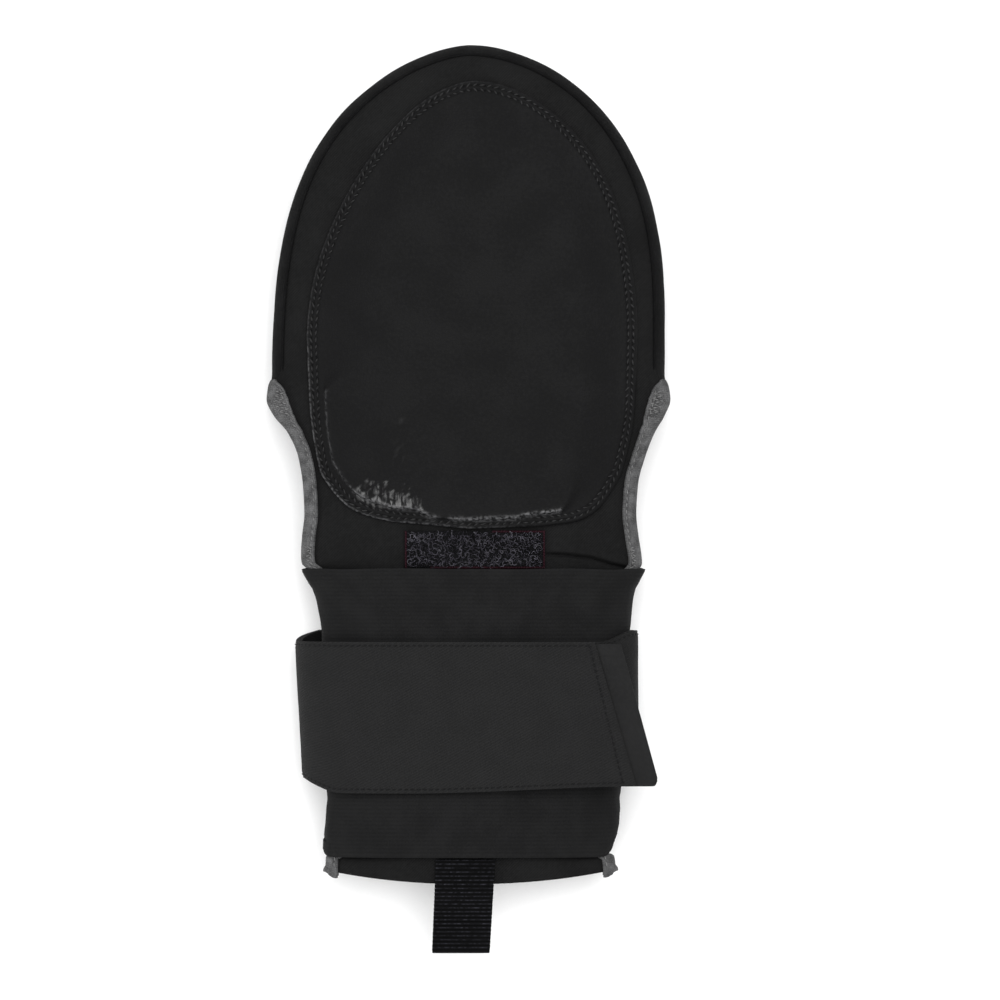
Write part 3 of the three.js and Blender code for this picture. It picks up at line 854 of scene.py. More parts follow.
@dataclass
class PaddedPanel:
    """One of the pocket's two padded walls, drawn in by the rim seam and the binding."""

    face: Face
    name: str
    bands: tuple[tuple[float, int], ...] = ((-120.0, 14), (-30.0, 46), (-10.0, 56), (42.0, 48))
    rows_head: int = 96
    columns: int = 116
    span: tuple[float, float] = (134, 286)
    edge_scale: float = 32.0
    seam_dip: float = 1.1
    seam_width: float = 6.0
    wave: float = 0.16
    small_wave: float = 0.05
    crease: tuple[Spot, ...] = (
        Spot(26.0, -18.8), Spot(32.8, -19.0), Spot(41.3, -20.1), Spot(48.5, -22.3), Spot(58.3, -24.5),
    )
    crease_depth: float = 1.5
    crease_drop: float = 0.9
    crease_roll: float = 0.45
    floor: float = 0.02

    @property
    def rows(self) -> int:
        """All the rows from the cuff to the tip."""
        return sum(count for _, count in self.bands) + self.rows_head

    def _y(self, v: float) -> float:
        """Height of a row: close together by the fold, and crowding towards the tip."""
        row = v * self.rows
        low = POCKET.lip_y
        for high, count in self.bands:
            if row <= count:
                return lerp(low, high, row / count)
            row -= count
            low = high
        crowding = math.sin(row / self.rows_head * math.pi / 2)
        return lerp(low, POCKET.tip_y - POCKET.rim_inset, crowding)

    def _edge_gap(self, x: float, y: float) -> float:
        """Millimetres from the panel's edge, roughly, in the head."""
        return (1 - clamp(POCKET.reach(x, y))) * self.edge_scale

    def _fold(self, x: float, y: float) -> float:
        """The crease right of the loop patch, and the drop below it."""
        if not self.crease[0].x - 3 < x < self.crease[-1].x or y < -34 or y > -12:
            return 0.0
        i = next(k for k in range(1, len(self.crease)) if x <= self.crease[k].x)
        low, high = self.crease[i - 1], self.crease[i]
        line = lerp(low.y, high.y, (x - low.x) / (high.x - low.x))
        begin = smoothstep(x, self.crease[0].x - 3, self.crease[0].x + 4)
        below = smoothstep(line - y, 0, 0.8) * (1 - smoothstep(line - y, 5, 9))
        cut = self.crease_depth * bump(y, line - 0.3, 0.55)
        roll = self.crease_roll * bump(y, line + 1.5, 1.3)
        return -begin * (cut + self.crease_drop * below - roll)

    def relief(self, x: float, y: float) -> float:
        """How far the face stands off its plain form: soft waves, the seam's dip and the fold."""
        low = -self.seam_dip * bump(self._edge_gap(x, y), 0, self.seam_width) * smoothstep(y, 36, 48)
        inner = smoothstep(self._edge_gap(x, y), 0, 8)
        waves = inner * (self.wave * ripple(x, y, 26, 3.1) + self.small_wave * ripple(x, y, 6, 7.7))
        if self.face is Face.BACK:
            return low + waves * 0.4 * smoothstep(y, -20, -40) + waves * 0.3
        return low + waves + self._fold(x, y)

    def surface(self, u: float, v: float) -> Vector:
        """Point of the outer face."""
        y = self._y(v)
        share = self.face.value * math.sin((u - 0.5) * math.pi)
        x = share * POCKET.half_width(side_of(share), y, POCKET.panel_inset(y))
        z = POCKET.height(self.face, x, y) + self.face.value * self.relief(x, y)
        return Vector((x, y + POCKET.lip_lift(x, y), max(z, self.floor)))

    def _wall_share(self, place: Vector) -> float:
        """Share of the greatest thickness at a point."""
        return POCKET.thickness(place.x, place.y) / POCKET.heights[0].pad

    def build(self) -> Piece:
        """Builds and dresses the panel.

        Returns:
            The padded piece.
        """
        shape = sheet_mesh(self.columns, self.rows, self.surface, self.span)
        mark_points(shape, "wear_and_glint", lambda place: 0.1 * bump(self._edge_gap(place.x, place.y), 5, 3))
        piece = add_piece(f"{self.name}_padding", shape, Slot.PADDING, NYLON, self.name)
        add_wall(piece, POCKET.heights[0].pad, self._wall_share)
        round_edges(piece, 1.0)
        return piece


class Lamp(NamedTuple):
    """A rectangular light: its place and size in metres, and its power in watts."""

    name: str
    place: tuple[float, float, float]
    size: tuple[float, float]
    watts: float


@dataclass
class Studio:
    """Plain pale floor, soft lights and the camera, which looks straight down."""

    floor_size: float = 7.0
    floor_z: float = -0.0004
    centre: tuple[float, float] = (10.71, -0.68)
    camera_height: float = 2.5
    framed_z: float = 0.028
    framed_width: float = 0.34
    sensor: float = 36.0
    clip_end: float = 50.0
    sky_strength: float = 0.95
    lamps: tuple[Lamp, ...] = (
        Lamp("overhead", (0.25, 0.45, 1.9), (1.6, 1.6), 34),
        Lamp("low_left", (-1.1, -0.75, 0.55), (0.9, 0.3), 7),
    )

    def _floor(self) -> None:
        """Lays the floor."""
        shape = bmesh.new()
        bmesh.ops.create_grid(shape, x_segments=1, y_segments=1, size=self.floor_size / 2,
                              matrix=Matrix.Translation((0, 0, self.floor_z)))
        mesh = bpy.data.meshes.new("floor")
        shape.to_mesh(mesh)
        shape.free()
        mesh.materials.append(FLOOR_PAINT.material())
        floor = bpy.data.objects.new("floor", mesh)
        bpy.context.scene.collection.objects.link(floor)

    @staticmethod
    def _hang(lamp: Lamp) -> None:
        """Hangs one light that faces the mitt."""
        light = bpy.data.lights.new(lamp.name, "AREA")
        light.shape = "RECTANGLE"
        light.size, light.size_y = lamp.size
        light.energy = lamp.watts
        holder = bpy.data.objects.new(lamp.name, light)
        holder.location = lamp.place
        holder.rotation_euler = (-Vector(lamp.place)).to_track_quat("-Z", "Y").to_euler()
        bpy.context.scene.collection.objects.link(holder)

    def _camera(self) -> None:
        """Sets the camera above the frame's middle."""
        lens = bpy.data.cameras.new("camera")
        lens.sensor_width = self.sensor
        lens.lens = self.sensor * (self.camera_height - self.framed_z) / self.framed_width
        lens.clip_end = self.clip_end
        camera = bpy.data.objects.new("camera", lens)
        camera.location = (self.centre[0] * MM, self.centre[1] * MM, self.camera_height)
        bpy.context.scene.collection.objects.link(camera)
        bpy.context.scene.camera = camera

    def _sky(self) -> None:
        """Fills the studio with even white light."""
        world = bpy.data.worlds.new("studio")
        world.use_nodes = True
        glow = world.node_tree.nodes["Background"]
        glow.inputs["Color"].default_value = (1, 1, 1, 1)
        glow.inputs["Strength"].default_value = self.sky_strength
        bpy.context.scene.world = world

    def build(self) -> None:
        """Sets up the studio."""
        bpy.context.scene.view_settings.view_transform = "Standard"
        self._camera()
        self._floor()
        self._sky()
        for lamp in self.lamps:
            self._hang(lamp)


@dataclass(frozen=True)
class Seam:
    """A row of stitches: small capsules of thread, laid end to end along a path."""

    pitch: float = 2.3
    length: float = 1.75
    radius: float = 0.24
    slant: float = 7.0
    lift: float = 0.1

    def stitch(self) -> Mesh:
        """One stitch, along X."""
        shape = bmesh.new()
        bmesh.ops.create_uvsphere(shape, u_segments=6, v_segments=4, radius=1)
        size = Vector((self.length / 2, self.radius, self.radius * 0.8)) * MM
        bmesh.ops.scale(shape, vec=size, verts=shape.verts)
        return shape

    def places(self, path: Path) -> list[Matrix]:
        """Finds each stitch's place.

        Args:
            path: points in millimetres with the cloth's normal at each.

        Returns:
            One matrix a stitch, in metres.
        """
        found = []
        due = self.pitch / 2
        run = 0.0
        for (here, normal), (ahead, _) in zip(path, path[1:]):
            step = (ahead - here).length
            while step > 0 and due <= run + step:
                along = (ahead - here).normalized()
                across = normal.cross(along).normalized()
                up = along.cross(across)
                turn = Matrix.Rotation(math.radians(self.slant), 3, up)
                axes = turn @ Matrix((along, across, up)).transposed()
                spot = here.lerp(ahead, (due - run) / step) + up * self.lift
                found.append(Matrix.Translation(spot * MM) @ axes.to_4x4())
                due += self.pitch
            run += step
        return found

    def sew(self, name: str, paths: Sequence[Path], slot: Slot, thread: Finish) -> None:
        """Builds one or more rows as one piece."""
        places = [place for path in paths for place in self.places(path)]
        add_piece(name, join_copies(self.stitch(), places), slot, thread)


def facing(surface: Surface, u: float, v: float) -> tuple[Vector, Vector]:
    """Point of a surface in millimetres, and its outward normal."""
    here = surface(u, v)
    across = surface(min(u + SMALL, 1), v) - surface(max(u - SMALL, 0), v)
    along = surface(u, min(v + SMALL, 1)) - surface(u, max(v - SMALL, 0))
    return here, across.cross(along).normalized()


@dataclass
class RimGusset:
    """The rolled side wall round the head, tucked under the edges of both panels."""

    columns: int = 260
    rows: int = 18
    run_length: float = 380.0
    side_length: float = 24.0
    wall: float = 2.4
    tucked_share: float = 0.12
    tuck: float = 3.95
    roll: float = 2.2
    top: float = 26.6
    bottom: float = 5.0
    pucker: float = 0.07
    pucker_pitch: float = 3.2
    wave: float = 0.25
    end_drop: float = 0.45

    def surface(self, u: float, v: float) -> Vector:
        """Point of the outer face, from the front seam to the back seam."""
        here = POCKET.outline(u)
        along = (POCKET.outline(min(u + SMALL, 1)) - POCKET.outline(max(u - SMALL, 0))).normalized()
        here.y -= self.end_drop * (bump(u, 0, 0.004) + bump(u, 1, 0.004))
        near_seam = abs(2 * v - 1)
        inward = self.tuck * near_seam**self.roll
        inward += self.pucker * near_seam * math.cos(u * self.run_length / self.pucker_pitch * 2 * math.pi)
        inward += self.wave * ripple(here.x, here.y + 60 * v, 14, 2.2) * (1 - near_seam)
        flat = Vector((along.y * inward, -along.x * inward, lerp(self.top, self.bottom, v)))
        return here + flat

    def build(self) -> Piece:
        """Builds and dresses the rim.

        Returns:
            The rim's wall, a stretched sheet.
        """
        shape = sheet_mesh(self.columns, self.rows, self.surface, (self.run_length, self.side_length))
        mark_points(shape, "wear_and_glint", lambda place: 0.08 * bump(place.z, self.top, 1.2))
        piece = add_piece("rim_gusset_wall", shape, Slot.RIM, RIM_CLOTH, "rim_gusset")
        height = self.top - self.bottom

        def share(place: Vector) -> float:
            """The wall thins out where it is tucked in."""
            level = (self.top - place.z) / height
            return lerp(self.tucked_share, 1, smoothstep(min(level, 1 - level), 0, 0.2))

        add_wall(piece, self.wall, share)
        return piece


@dataclass
class ImpactPatch:
    """The oval patch: a sewn margin with two rows of stitches, and a plate that stands up under the skin."""

    spokes: int = 640
    edge_samples: int = 1440
    margin_rows: int = 30
    margin_step: float = 0.28
    field_rows: int = 14
    field_step: float = 0.8
    crown_rows: int = 24
    edge_roll: float = 1.0
    stitch_pull: float = 0.2
    stitch_swell: float = 0.16
    stitch_depths: tuple[float, float] = (1.5, 3.2)
    stitch_count: int = 178
    stitch_slant: float = 24.0
    stitch_wander: float = 20.0
    stitch_length: float = 2.0
    stitch_radius: float = 0.26
    stitch_sink: float = 0.16
    seed: int = 5
    plate_depth: float = 5.3
    crisp_edge: float = 0.55
    soft_edge: float = 16.0
    edge_ridge: float = 0.2
    crown: float = 0.5
    nick: Spot = Spot(-23.3, 14.5)
    dent: Spot = Spot(-23.3, 26.3)
    rubbed_floor: tuple[Spot, ...] = (
        Spot(-41.7, 4.1), Spot(-36.6, -0.7), Spot(-32.1, -3.1),
        Spot(-25.3, -3.9), Spot(-18.5, -3.9), Spot(-12.1, -7.8),
    )
    rubbed_tall: tuple[float, ...] = (1.5, 6.0, 9.5, 9.0, 7.0, 1.8)
    plate_depths: tuple[Spot, ...] = (
        Spot(-47, 5.3), Spot(-36, 5.0), Spot(-25, 4.5), Spot(-18.5, 4.7), Spot(-12, 2.3), Spot(-4.6, 2.3),
        Spot(5, 2.6), Spot(16, 2.7), Spot(20, 3.7), Spot(26, 4.2), Spot(32, 4.0), Spot(46, 5.3),
    )

    def __post_init__(self) -> None:
        """Spaces the spokes evenly along the edge and lists the rows of the profile."""
        fine = [2 * math.pi * k / self.edge_samples for k in range(self.edge_samples + 1)]
        points = [PATCH.place(angle, PATCH.edge(angle)) for angle in fine]
        runs = [0.0]
        for near, far in zip(points, points[1:]):
            runs.append(runs[-1] + (far - near).length)
        self.girth = runs[-1]
        self.angles = []
        k = 0
        for spoke in range(self.spokes):
            due = self.girth * spoke / self.spokes
            while runs[k + 1] < due:
                k += 1
            self.angles.append(lerp(fine[k], fine[k + 1], (due - runs[k]) / (runs[k + 1] - runs[k])))
        self.edges = [PATCH.edge(angle) for angle in self.angles]
        under = [("share", share) for share in (0.0, 0.4, 0.7, 0.9)]
        side = [("under", 0.5), ("side", 0.0), ("side", 0.5)]
        margin = [("depth", self.margin_step * k) for k in range(self.margin_rows)]
        margin_end = self.margin_step * self.margin_rows
        plate = [("depth", margin_end + self.field_step * k) for k in range(self.field_rows)]
        crown = [("crown", 1 - k / self.crown_rows) for k in range(self.crown_rows + 1)]
        self.profile = under + side + margin + plate + crown
        self.last_depth = plate[-1][1]

    def _step(self, x: float, y: float) -> tuple[float, float]:
        """How deep the plate's edge lies at a point, and how soft it is."""
        low = smoothstep(14 - y, 0, 12)
        depth = lerp(self.plate_depth, self._read(self.plate_depths, x), low)
        crisp = low * smoothstep(42 - x, 0, 12) + (1 - smoothstep(x, -46, -30)) * smoothstep(50 - y, 0, 15)
        return depth, lerp(self.soft_edge, self.crisp_edge, clamp(crisp))

    @staticmethod
    def _read(spots: Sequence[Spot], x: float) -> float:
        """Reads a line of spots at x, and holds its ends."""
        if x <= spots[0].x:
            return spots[0].y
        for low, high in zip(spots, spots[1:]):
            if x <= high.x:
                return lerp(low.y, high.y, smoothstep(x, low.x, high.x))
        return spots[-1].y

    def rubbed(self, x: float, y: float) -> float:
        """1 where the skin is scuffed and glossy, at the lower left."""
        first, last = self.rubbed_floor[0].x, self.rubbed_floor[-1].x
        floor = self._read(self.rubbed_floor, x)
        tall = self._read([Spot(spot.x, high) for spot, high in zip(self.rubbed_floor, self.rubbed_tall)], x)
        ceiling = floor + tall * (0.75 + 0.8 * ripple(x, y, 1.6, 9.1))
        zone = smoothstep(x, first - 1, first + 2) * smoothstep(last + 1 - x, 0, 2)
        nicks = smoothstep(ripple(x, y / 3, 1.2, 4.0), 0.0, 0.3) * bump(y, self.nick.y, 4)
        marks = 0.1 * bump(x, self.nick.x, 1.9) * (bump(y, self.dent.y, 0.6) + nicks)
        inside = smoothstep(y, floor - 0.6, floor + 0.3) * (1 - smoothstep(y, ceiling - 3, ceiling))
        return clamp(zone * inside + marks)

    def height(self, x: float, y: float, depth: float, run: float) -> float:
        """How far the skin stands over the panel.

        Args:
            x: place across the mitt.
            y: place along the mitt.
            depth: millimetres inside the patch's edge.
            run: millimetres along the edge.

        Returns:
            The height in millimetres.
        """
        step_depth, soft = self._step(x, y)
        height = PATCH.seat + PATCH.margin - self.edge_roll * (1 - smoothstep(depth, -0.5, 0.9))
        wave = math.cos(2 * math.pi * self.stitch_count * run / self.girth)
        for row in self.stitch_depths:
            height -= (self.stitch_pull + self.stitch_swell * wave) * bump(depth, row, 0.5)
        height += PATCH.plate * smoothstep(depth, step_depth, step_depth + soft)
        ridge = bump(depth, step_depth + soft + 0.5, 0.8) * (1 - smoothstep(soft, 0.6, 2.5))
        height += self.edge_ridge * ridge + self.crown * smoothstep(depth, 6, 40)
        inner = smoothstep(depth, 5, 14)
        height += inner * (0.05 * ripple(x, y, 24, 1.3) + 0.03 * ripple(x, y, 5, 5.9))
        streaks = 0.22 * ripple(x, y / 5, 0.9, 8.8) + 0.12 * ripple(x, y / 3, 1.9, 6.1)
        return height + self.rubbed(x, y) * streaks

    def _spot(self, spoke: int, row: int) -> Vector:
        """Point of the patch's skin or of its underside."""
        kind, value = self.profile[row]
        angle = self.angles[spoke % self.spokes]
        edge = self.edges[spoke % self.spokes]
        if kind in ("share", "under", "side"):
            reach = {"share": edge * value, "under": edge - value, "side": edge}[kind]
            place = PATCH.place(angle, reach)
            place.z += PATCH.seat + (value if kind == "side" else 0.0)
            return place
        depth = value if kind == "depth" else edge - (edge - self.last_depth) * value
        place = PATCH.place(angle, edge - depth)
        run = self.girth * (spoke % self.spokes) / self.spokes
        place.z += self.height(place.x, place.y, depth, run)
        return place

    def surface(self, u: float, v: float) -> Vector:
        """Point of the closed skin: round the oval, and from the middle of its underside to its top."""
        spoke = round((1 - u) * self.spokes)
        return self._spot(spoke, round(v * (len(self.profile) - 1)))

    def _mark(self, shape: Mesh) -> None:
        """Marks the painted highlight lines along the patch's and plate's edges, and the rubbed place."""
        mark_points(shape, "rubbed", lambda place: self.rubbed(place.x, place.y))

        def polar(place: Vector) -> tuple[float, float]:
            """Angle of a point about the patch's centre, and its depth inside the edge."""
            x, y = place.x - PATCH.centre_x, place.y - PATCH.centre_y
            angle = math.atan2(x, y)
            return angle % (2 * math.pi), PATCH.edge(angle) - math.hypot(x, y)

        def wear_and_glints(place: Vector) -> float:
            """Painted highlights: bright lines along the patch's edge and the plate's edge."""
            _, depth = polar(place)
            step_depth, soft = self._step(place.x, place.y)
            dull = bump(place.x, -8.5, 3) * smoothstep(-place.y, 0, 5)
            crisp = (1 - smoothstep(soft, 0.6, 2.2)) * (1 - dull)
            left_low = (1 - smoothstep(place.x, -14, 30)) * (1 - 0.8 * smoothstep(place.y, 30, 70))
            # A painted highlight line just inside the patch's outer edge, at the lower left.
            outer = 0.75 * bump(depth, 0.25, 0.35) * left_low
            low = smoothstep(3 - place.y, 0, 4)
            broken = smoothstep(ripple(place.x, place.y, 3.2, 8.1), -1.0, -0.5)
            glint = lerp(0.35, 1.0, low) * bump(depth, step_depth + soft, lerp(0.4, 0.7, low)) * broken
            return clamp(crisp * glint + outer)

        mark_points(shape, "wear_and_glint", wear_and_glints)

        def pits_and_edge_shade(place: Vector) -> float:
            """Needle holes between the stitches, and a painted shade line along the patch's outer edge."""
            angle, depth = polar(place)
            if depth > 5 or self._step(place.x, place.y)[0] < depth + 0.5:
                return 0.0
            spoke = bisect.bisect_left(self.angles, angle)
            wave = math.cos(2 * math.pi * self.stitch_count * spoke / self.spokes)
            rows = sum(bump(depth, row, 0.45) for row in self.stitch_depths)
            return clamp(rows * smoothstep(wave, -0.2, 0.8) + 0.5 * bump(depth, -0.1, 0.25))

        mark_points(shape, "pit", pits_and_edge_shade)

    def _row(self, depth: float) -> list[tuple[Vector, Vector]]:
        """Path of one row of stitches, once round from the bottom."""
        path = []
        half = self.spokes // 2
        for spoke in range(half, half + self.spokes + 1):
            angle = self.angles[spoke % self.spokes]
            edge = self.edges[spoke % self.spokes]
            place, inside = PATCH.place(angle, edge - depth), PATCH.place(angle, edge - depth - 1)
            outward = Vector((math.sin(angle), math.cos(angle), 0))
            normal = (Vector((0, 0, 1)) - outward * (place.z - inside.z)).normalized()
            place.z += PATCH.seat + PATCH.margin - self.stitch_sink
            path.append((place, normal))
        return path

    def _stitches(self) -> None:
        """Sews both rows with stitches that wander a little, apart from the stretch that the plate hides."""
        places = []
        draw = random.Random(self.seed)
        for depth, slant in zip(self.stitch_depths, (self.stitch_slant, -self.stitch_slant)):
            path = self._row(depth)
            length = sum((far - near).length for (near, _), (far, _) in zip(path, path[1:]))
            for place in Seam(pitch=length / self.stitch_count, slant=slant).places(path):
                spot = place.translation / MM
                if self._step(spot.x, spot.y)[0] > depth + 0.6:
                    wander = math.radians(draw.uniform(-self.stitch_wander, self.stitch_wander))
                    size = Matrix.Diagonal((draw.uniform(0.7, 1.15), 1, 1, 1))
                    places.append(place @ Matrix.Rotation(wander, 4, "Z") @ size)
        stitch = Seam(length=self.stitch_length, radius=self.stitch_radius).stitch()
        add_piece("patch_stitches", join_copies(stitch, places), Slot.PATCH, BLACK_THREAD)

    def build(self) -> Piece:
        """Builds the skin and its stitches.

        Returns:
            The patch.
        """
        shape = sheet_mesh(self.spokes, len(self.profile) - 1, self.surface, (self.girth, 120))
        self._mark(shape)
        piece = add_piece("impact_patch_skin", shape, Slot.PATCH, LEATHER, "impact_patch")
        self._stitches()
        return piece


@dataclass
class LoopPatch:
    """The small fastening patch: a backing strip covered in curled loops, with an overcast edge."""

    left: float = -21.6
    right: float = 26.0
    top: float = -11.2
    bottom: float = -23.9
    seat: float = 0.4
    backing: float = 0.9
    loop_columns: int = 52
    loop_rows: int = 13
    loop_radius: float = 0.72
    loop_turn: float = math.radians(200)
    loop_tilt: float = math.radians(10)
    thread_radius: float = 0.17
    seed: int = 11

    def _height(self, x: float, y: float) -> float:
        """Height of the backing's face."""
        return POCKET.height(Face.FRONT, x, y) + self.seat + self.backing

    def surface(self, u: float, v: float) -> Vector:
        """Point of the backing's face."""
        x = lerp(self.left, self.right, u)
        y = lerp(self.bottom, self.top, v)
        return Vector((x, y, self._height(x, y) + 0.05 * ripple(x, y, 2, 1)))

    def _loop(self) -> Mesh:
        """One loop: a fine thread bent over, with both feet in the backing."""
        shape = bmesh.new()
        ring = bmesh.ops.create_circle(shape, segments=4, radius=self.thread_radius * MM, cap_ends=False)
        bmesh.ops.rotate(shape, verts=ring["verts"], matrix=Matrix.Rotation(math.pi / 2, 3, "X"))
        bmesh.ops.translate(shape, verts=ring["verts"], vec=(self.loop_radius * MM, 0, 0))
        axis = (0, -1, 0)
        bmesh.ops.spin(shape, geom=shape.edges[:], cent=(0, 0, 0), axis=axis, angle=self.loop_turn, steps=7)
        tilt = Matrix.Rotation(self.loop_tilt, 3, "Y")
        bmesh.ops.rotate(shape, verts=shape.verts, cent=(0, 0, 0), matrix=tilt)
        bmesh.ops.recalc_face_normals(shape, faces=shape.faces)
        return shape

    def _loop_places(self) -> list[Matrix]:
        """Scatters the loops in close rows, each leaning its own way."""
        draw = random.Random(self.seed)
        places = []
        for i in range(self.loop_columns):
            for j in range(self.loop_rows):
                x = lerp(self.left + 1.0, self.right - 1.0, (i + draw.uniform(0.0, 1.0)) / self.loop_columns)
                y = lerp(self.bottom + 0.5, self.top - 0.5, (j + draw.uniform(0.1, 0.9)) / self.loop_rows)
                turn = Matrix.Rotation(draw.uniform(0, math.pi), 4, "Z")
                lean = Matrix.Rotation(draw.uniform(-1.1, 1.1), 4, "X")
                size = Matrix.Diagonal((draw.uniform(0.7, 1.25), 1.0, draw.uniform(0.7, 1.3), 1.0))
                spot = Vector((x, y, self._height(x, y) + draw.uniform(-0.1, 0.15)))
                places.append(Matrix.Translation(spot * MM) @ turn @ lean @ size)
        return places

    def _edging(self, thread: Seam) -> list[Matrix]:
        """Overcast stitches at both ends and along part of the top and bottom."""
        sides = [(x, self.bottom, x, self.top, 0.0) for x in (self.left + 0.35, self.right - 0.35)]
        upper, lower = self.top - 0.2, self.bottom + 0.3
        rows = [*sides, (8.0, upper, self.right, upper, 0.1), (-13.0, lower, self.right, lower, 0.1)]
        places = []
        for x, y, end_x, end_y, sink in rows:
            spots = [(lerp(x, end_x, k / 12), lerp(y, end_y, k / 12)) for k in range(13)]
            path = [(Vector((*spot, self._height(*spot) - sink)), Vector((0, 0, 1))) for spot in spots]
            places += thread.places(path)
        return places

    def build(self) -> Piece:
        """Builds the backing, its loops and its overcast edge.

        Returns:
            The backing, a laid sheet.
        """
        shape = sheet_mesh(60, 16, self.surface, (48, 13))
        piece = add_piece("loop_patch_backing", shape, Slot.PILE, PILE_BACKING, "loop_patch")
        add_wall(piece, self.backing)
        add_piece("loop_pile", join_copies(self._loop(), self._loop_places()), Slot.PILE, PILE_LOOP)
        thread = Seam(pitch=0.9, length=1.4, radius=0.36, slant=24)
        edging = join_copies(thread.stitch(), self._edging(thread))
        add_piece("loop_patch_edging", edging, Slot.PILE, RED_THREAD)
        return piece


@dataclass
class EdgeBinding:
    """Heather tape folded over one panel's edge down one side, sewn through, with a bar tack at each end."""

    side: Side
    face: Face
    rows: int = 190
    columns: int = 26
    low_y: float = -133.2
    high_y: float = 40.3
    unfolded: tuple[float, float] = (0.0136, 0.182)
    reaches: tuple[Spot, ...] = (
        Spot(-110, 2.3), Spot(16, 2.9), Spot(20, 3.1), Spot(24, 3.8), Spot(28, 5.4), Spot(31, 6.1),
        Spot(33.5, 6.0), Spot(36, 4.8), Spot(37.9, 3.4), Spot(39.2, 1.0), Spot(40.3, 0.1),
    )
    waist_y: float = -122.2
    hidden_reach: float = 0.9
    flare: float = 0.8
    fold_cut: float = 1.4
    edge_cut: float = 0.7
    half_gap: float = 0.5
    seam_dip: float = 0.25
    clear: float = 1.4
    slack: float = 0.35
    flat: float = 0.36
    seam_share: float = 0.72
    tack_top: tuple[float, float] = (28.5, 36.5)
    tack_bottom: tuple[float, float] = (-24.0, -16.5)
    tack_turns: int = 9
    row_steps: int = 160

    def _reach(self, y: float) -> float:
        """How far the tape reaches in over the panel."""
        if y <= self.reaches[0].x:
            return self.reaches[0].y * (1 - 0.9 * bump(y, self.waist_y, 2.0))
        i = next(k for k, spot in enumerate(self.reaches) if y <= spot.x or spot is self.reaches[-1])
        low, high = self.reaches[i - 1], self.reaches[i]
        return lerp(low.y, high.y, smoothstep(y, low.x, high.x))

    def _edge_x(self, y: float, inside: float) -> float:
        """Distance from the middle line, a little inside the panel's edge."""
        edge = POCKET.half_width(self.side, y, POCKET.panel_inset(y) - self.slack)
        return self.side.value * (edge - inside)

    def _over(self, y: float, inside: float, lift: float) -> Vector:
        """Point over the panel's outer face."""
        x = self._edge_x(y, inside)
        steep = 1.0
        if inside > -0.5:
            slope = (POCKET.height(self.face, x + 0.1, y) - POCKET.height(self.face, x - 0.1, y)) / 0.2
            steep = math.hypot(1, slope)
        z = POCKET.height(self.face, x, y) + self.face.value * lift * steep
        middle = (column(POCKET.heights, y, "front_edge") + column(POCKET.heights, y, "back_edge")) / 2
        z = middle + self.face.value * max(self.half_gap, self.face.value * (z - middle))
        return Vector((x, y + POCKET.lip_lift(x, y), z))

    def surface(self, u: float, v: float) -> Vector:
        """Point of the tape's outer face: across the fold, and from the cuff to the notch."""
        if self.side.value * self.face.value < 0:
            u = 1 - u
        y = lerp(self.low_y, self.high_y, v)
        reach = self._reach(y)
        soft = 0.1 * ripple(self.side.value * 50, y, 5, 4.4) + 0.06 * ripple(u * 9, y, 1.7, 2.5)
        if u < self.flat:
            inside = lerp(reach, 0, u / self.flat)
            dip = self.seam_dip * bump(inside, reach * self.seam_share, 0.5)
            y += self._cut(inside, y)
            return self._over(y, inside + 0.25 * soft, self.clear + soft - dip)
        x = self._edge_x(y, 0)
        depth = POCKET.thickness(x, y)
        if u > 1 - self.flat:
            hidden = lerp(self.hidden_reach, reach, smoothstep(y, -117, -107))
            inside = lerp(0, hidden, (u - 1 + self.flat) / self.flat)
            y += self._cut(inside, y)
            return self._over(y, inside, -depth - self.clear - self.slack + soft)
        turn = (u - self.flat) / (1 - 2 * self.flat) * math.pi
        middle = -(depth + self.slack) / 2
        half = (depth + self.slack) / 2 + self.clear
        flare = self.flare * (1 - smoothstep(y, self.low_y + 0.5, self.low_y + 4))
        inside = -(self.clear + flare) * math.sin(turn)
        return self._over(y + self._cut(inside, y), inside, middle + half * math.cos(turn) + soft)

    def _cut(self, inside: float, y: float) -> float:
        """How much the slanted cut at the cuff takes off the tape's end."""
        near = 1 - smoothstep(y, self.low_y, self.low_y + 4)
        fold = self.fold_cut * (1 - smoothstep(inside, -1.4, 1.5))
        return near * (fold + self.edge_cut * smoothstep(inside, 2.0, 3.8))

    def _inside(self, place: Vector) -> tuple[float, float]:
        """Height of a point on the tape, and how far it lies inside the panel's edge."""
        y = min(place.y, self.high_y)
        return y, abs(self._edge_x(y, 0)) - abs(place.x)

    def _worn(self, place: Vector) -> float:
        """The tape's inner edge is rubbed pale."""
        y, inside = self._inside(place)
        return 0.9 * bump(inside, self._reach(y) - 0.3, 0.5)

    def _spots(self, place: Vector) -> float:
        """Dark flecks along the middle of the tape and by its tacks."""
        y, inside = self._inside(place)
        flecks = smoothstep(ripple(place.x * 2, y, 1.9, 5.5), 0.1, 0.6)
        return 0.2 * flecks * (bump(inside, 0.5 * self._reach(y), 1.0) + smoothstep(y, 26, 30))

    def _tack(self, ends: tuple[float, float]) -> list[Matrix]:
        """A close zigzag across the tape between two heights."""
        path = []
        for k in range(self.tack_turns + 1):
            y = lerp(*ends, k / self.tack_turns)
            inside = self._reach(y) * (0.25 if k % 2 else 0.8)
            path.append((self._over(y, inside, self.clear + 0.08), Vector((0, 0, self.face.value))))
        return Seam(pitch=1.9, length=1.3, radius=0.3, slant=0).places(path)

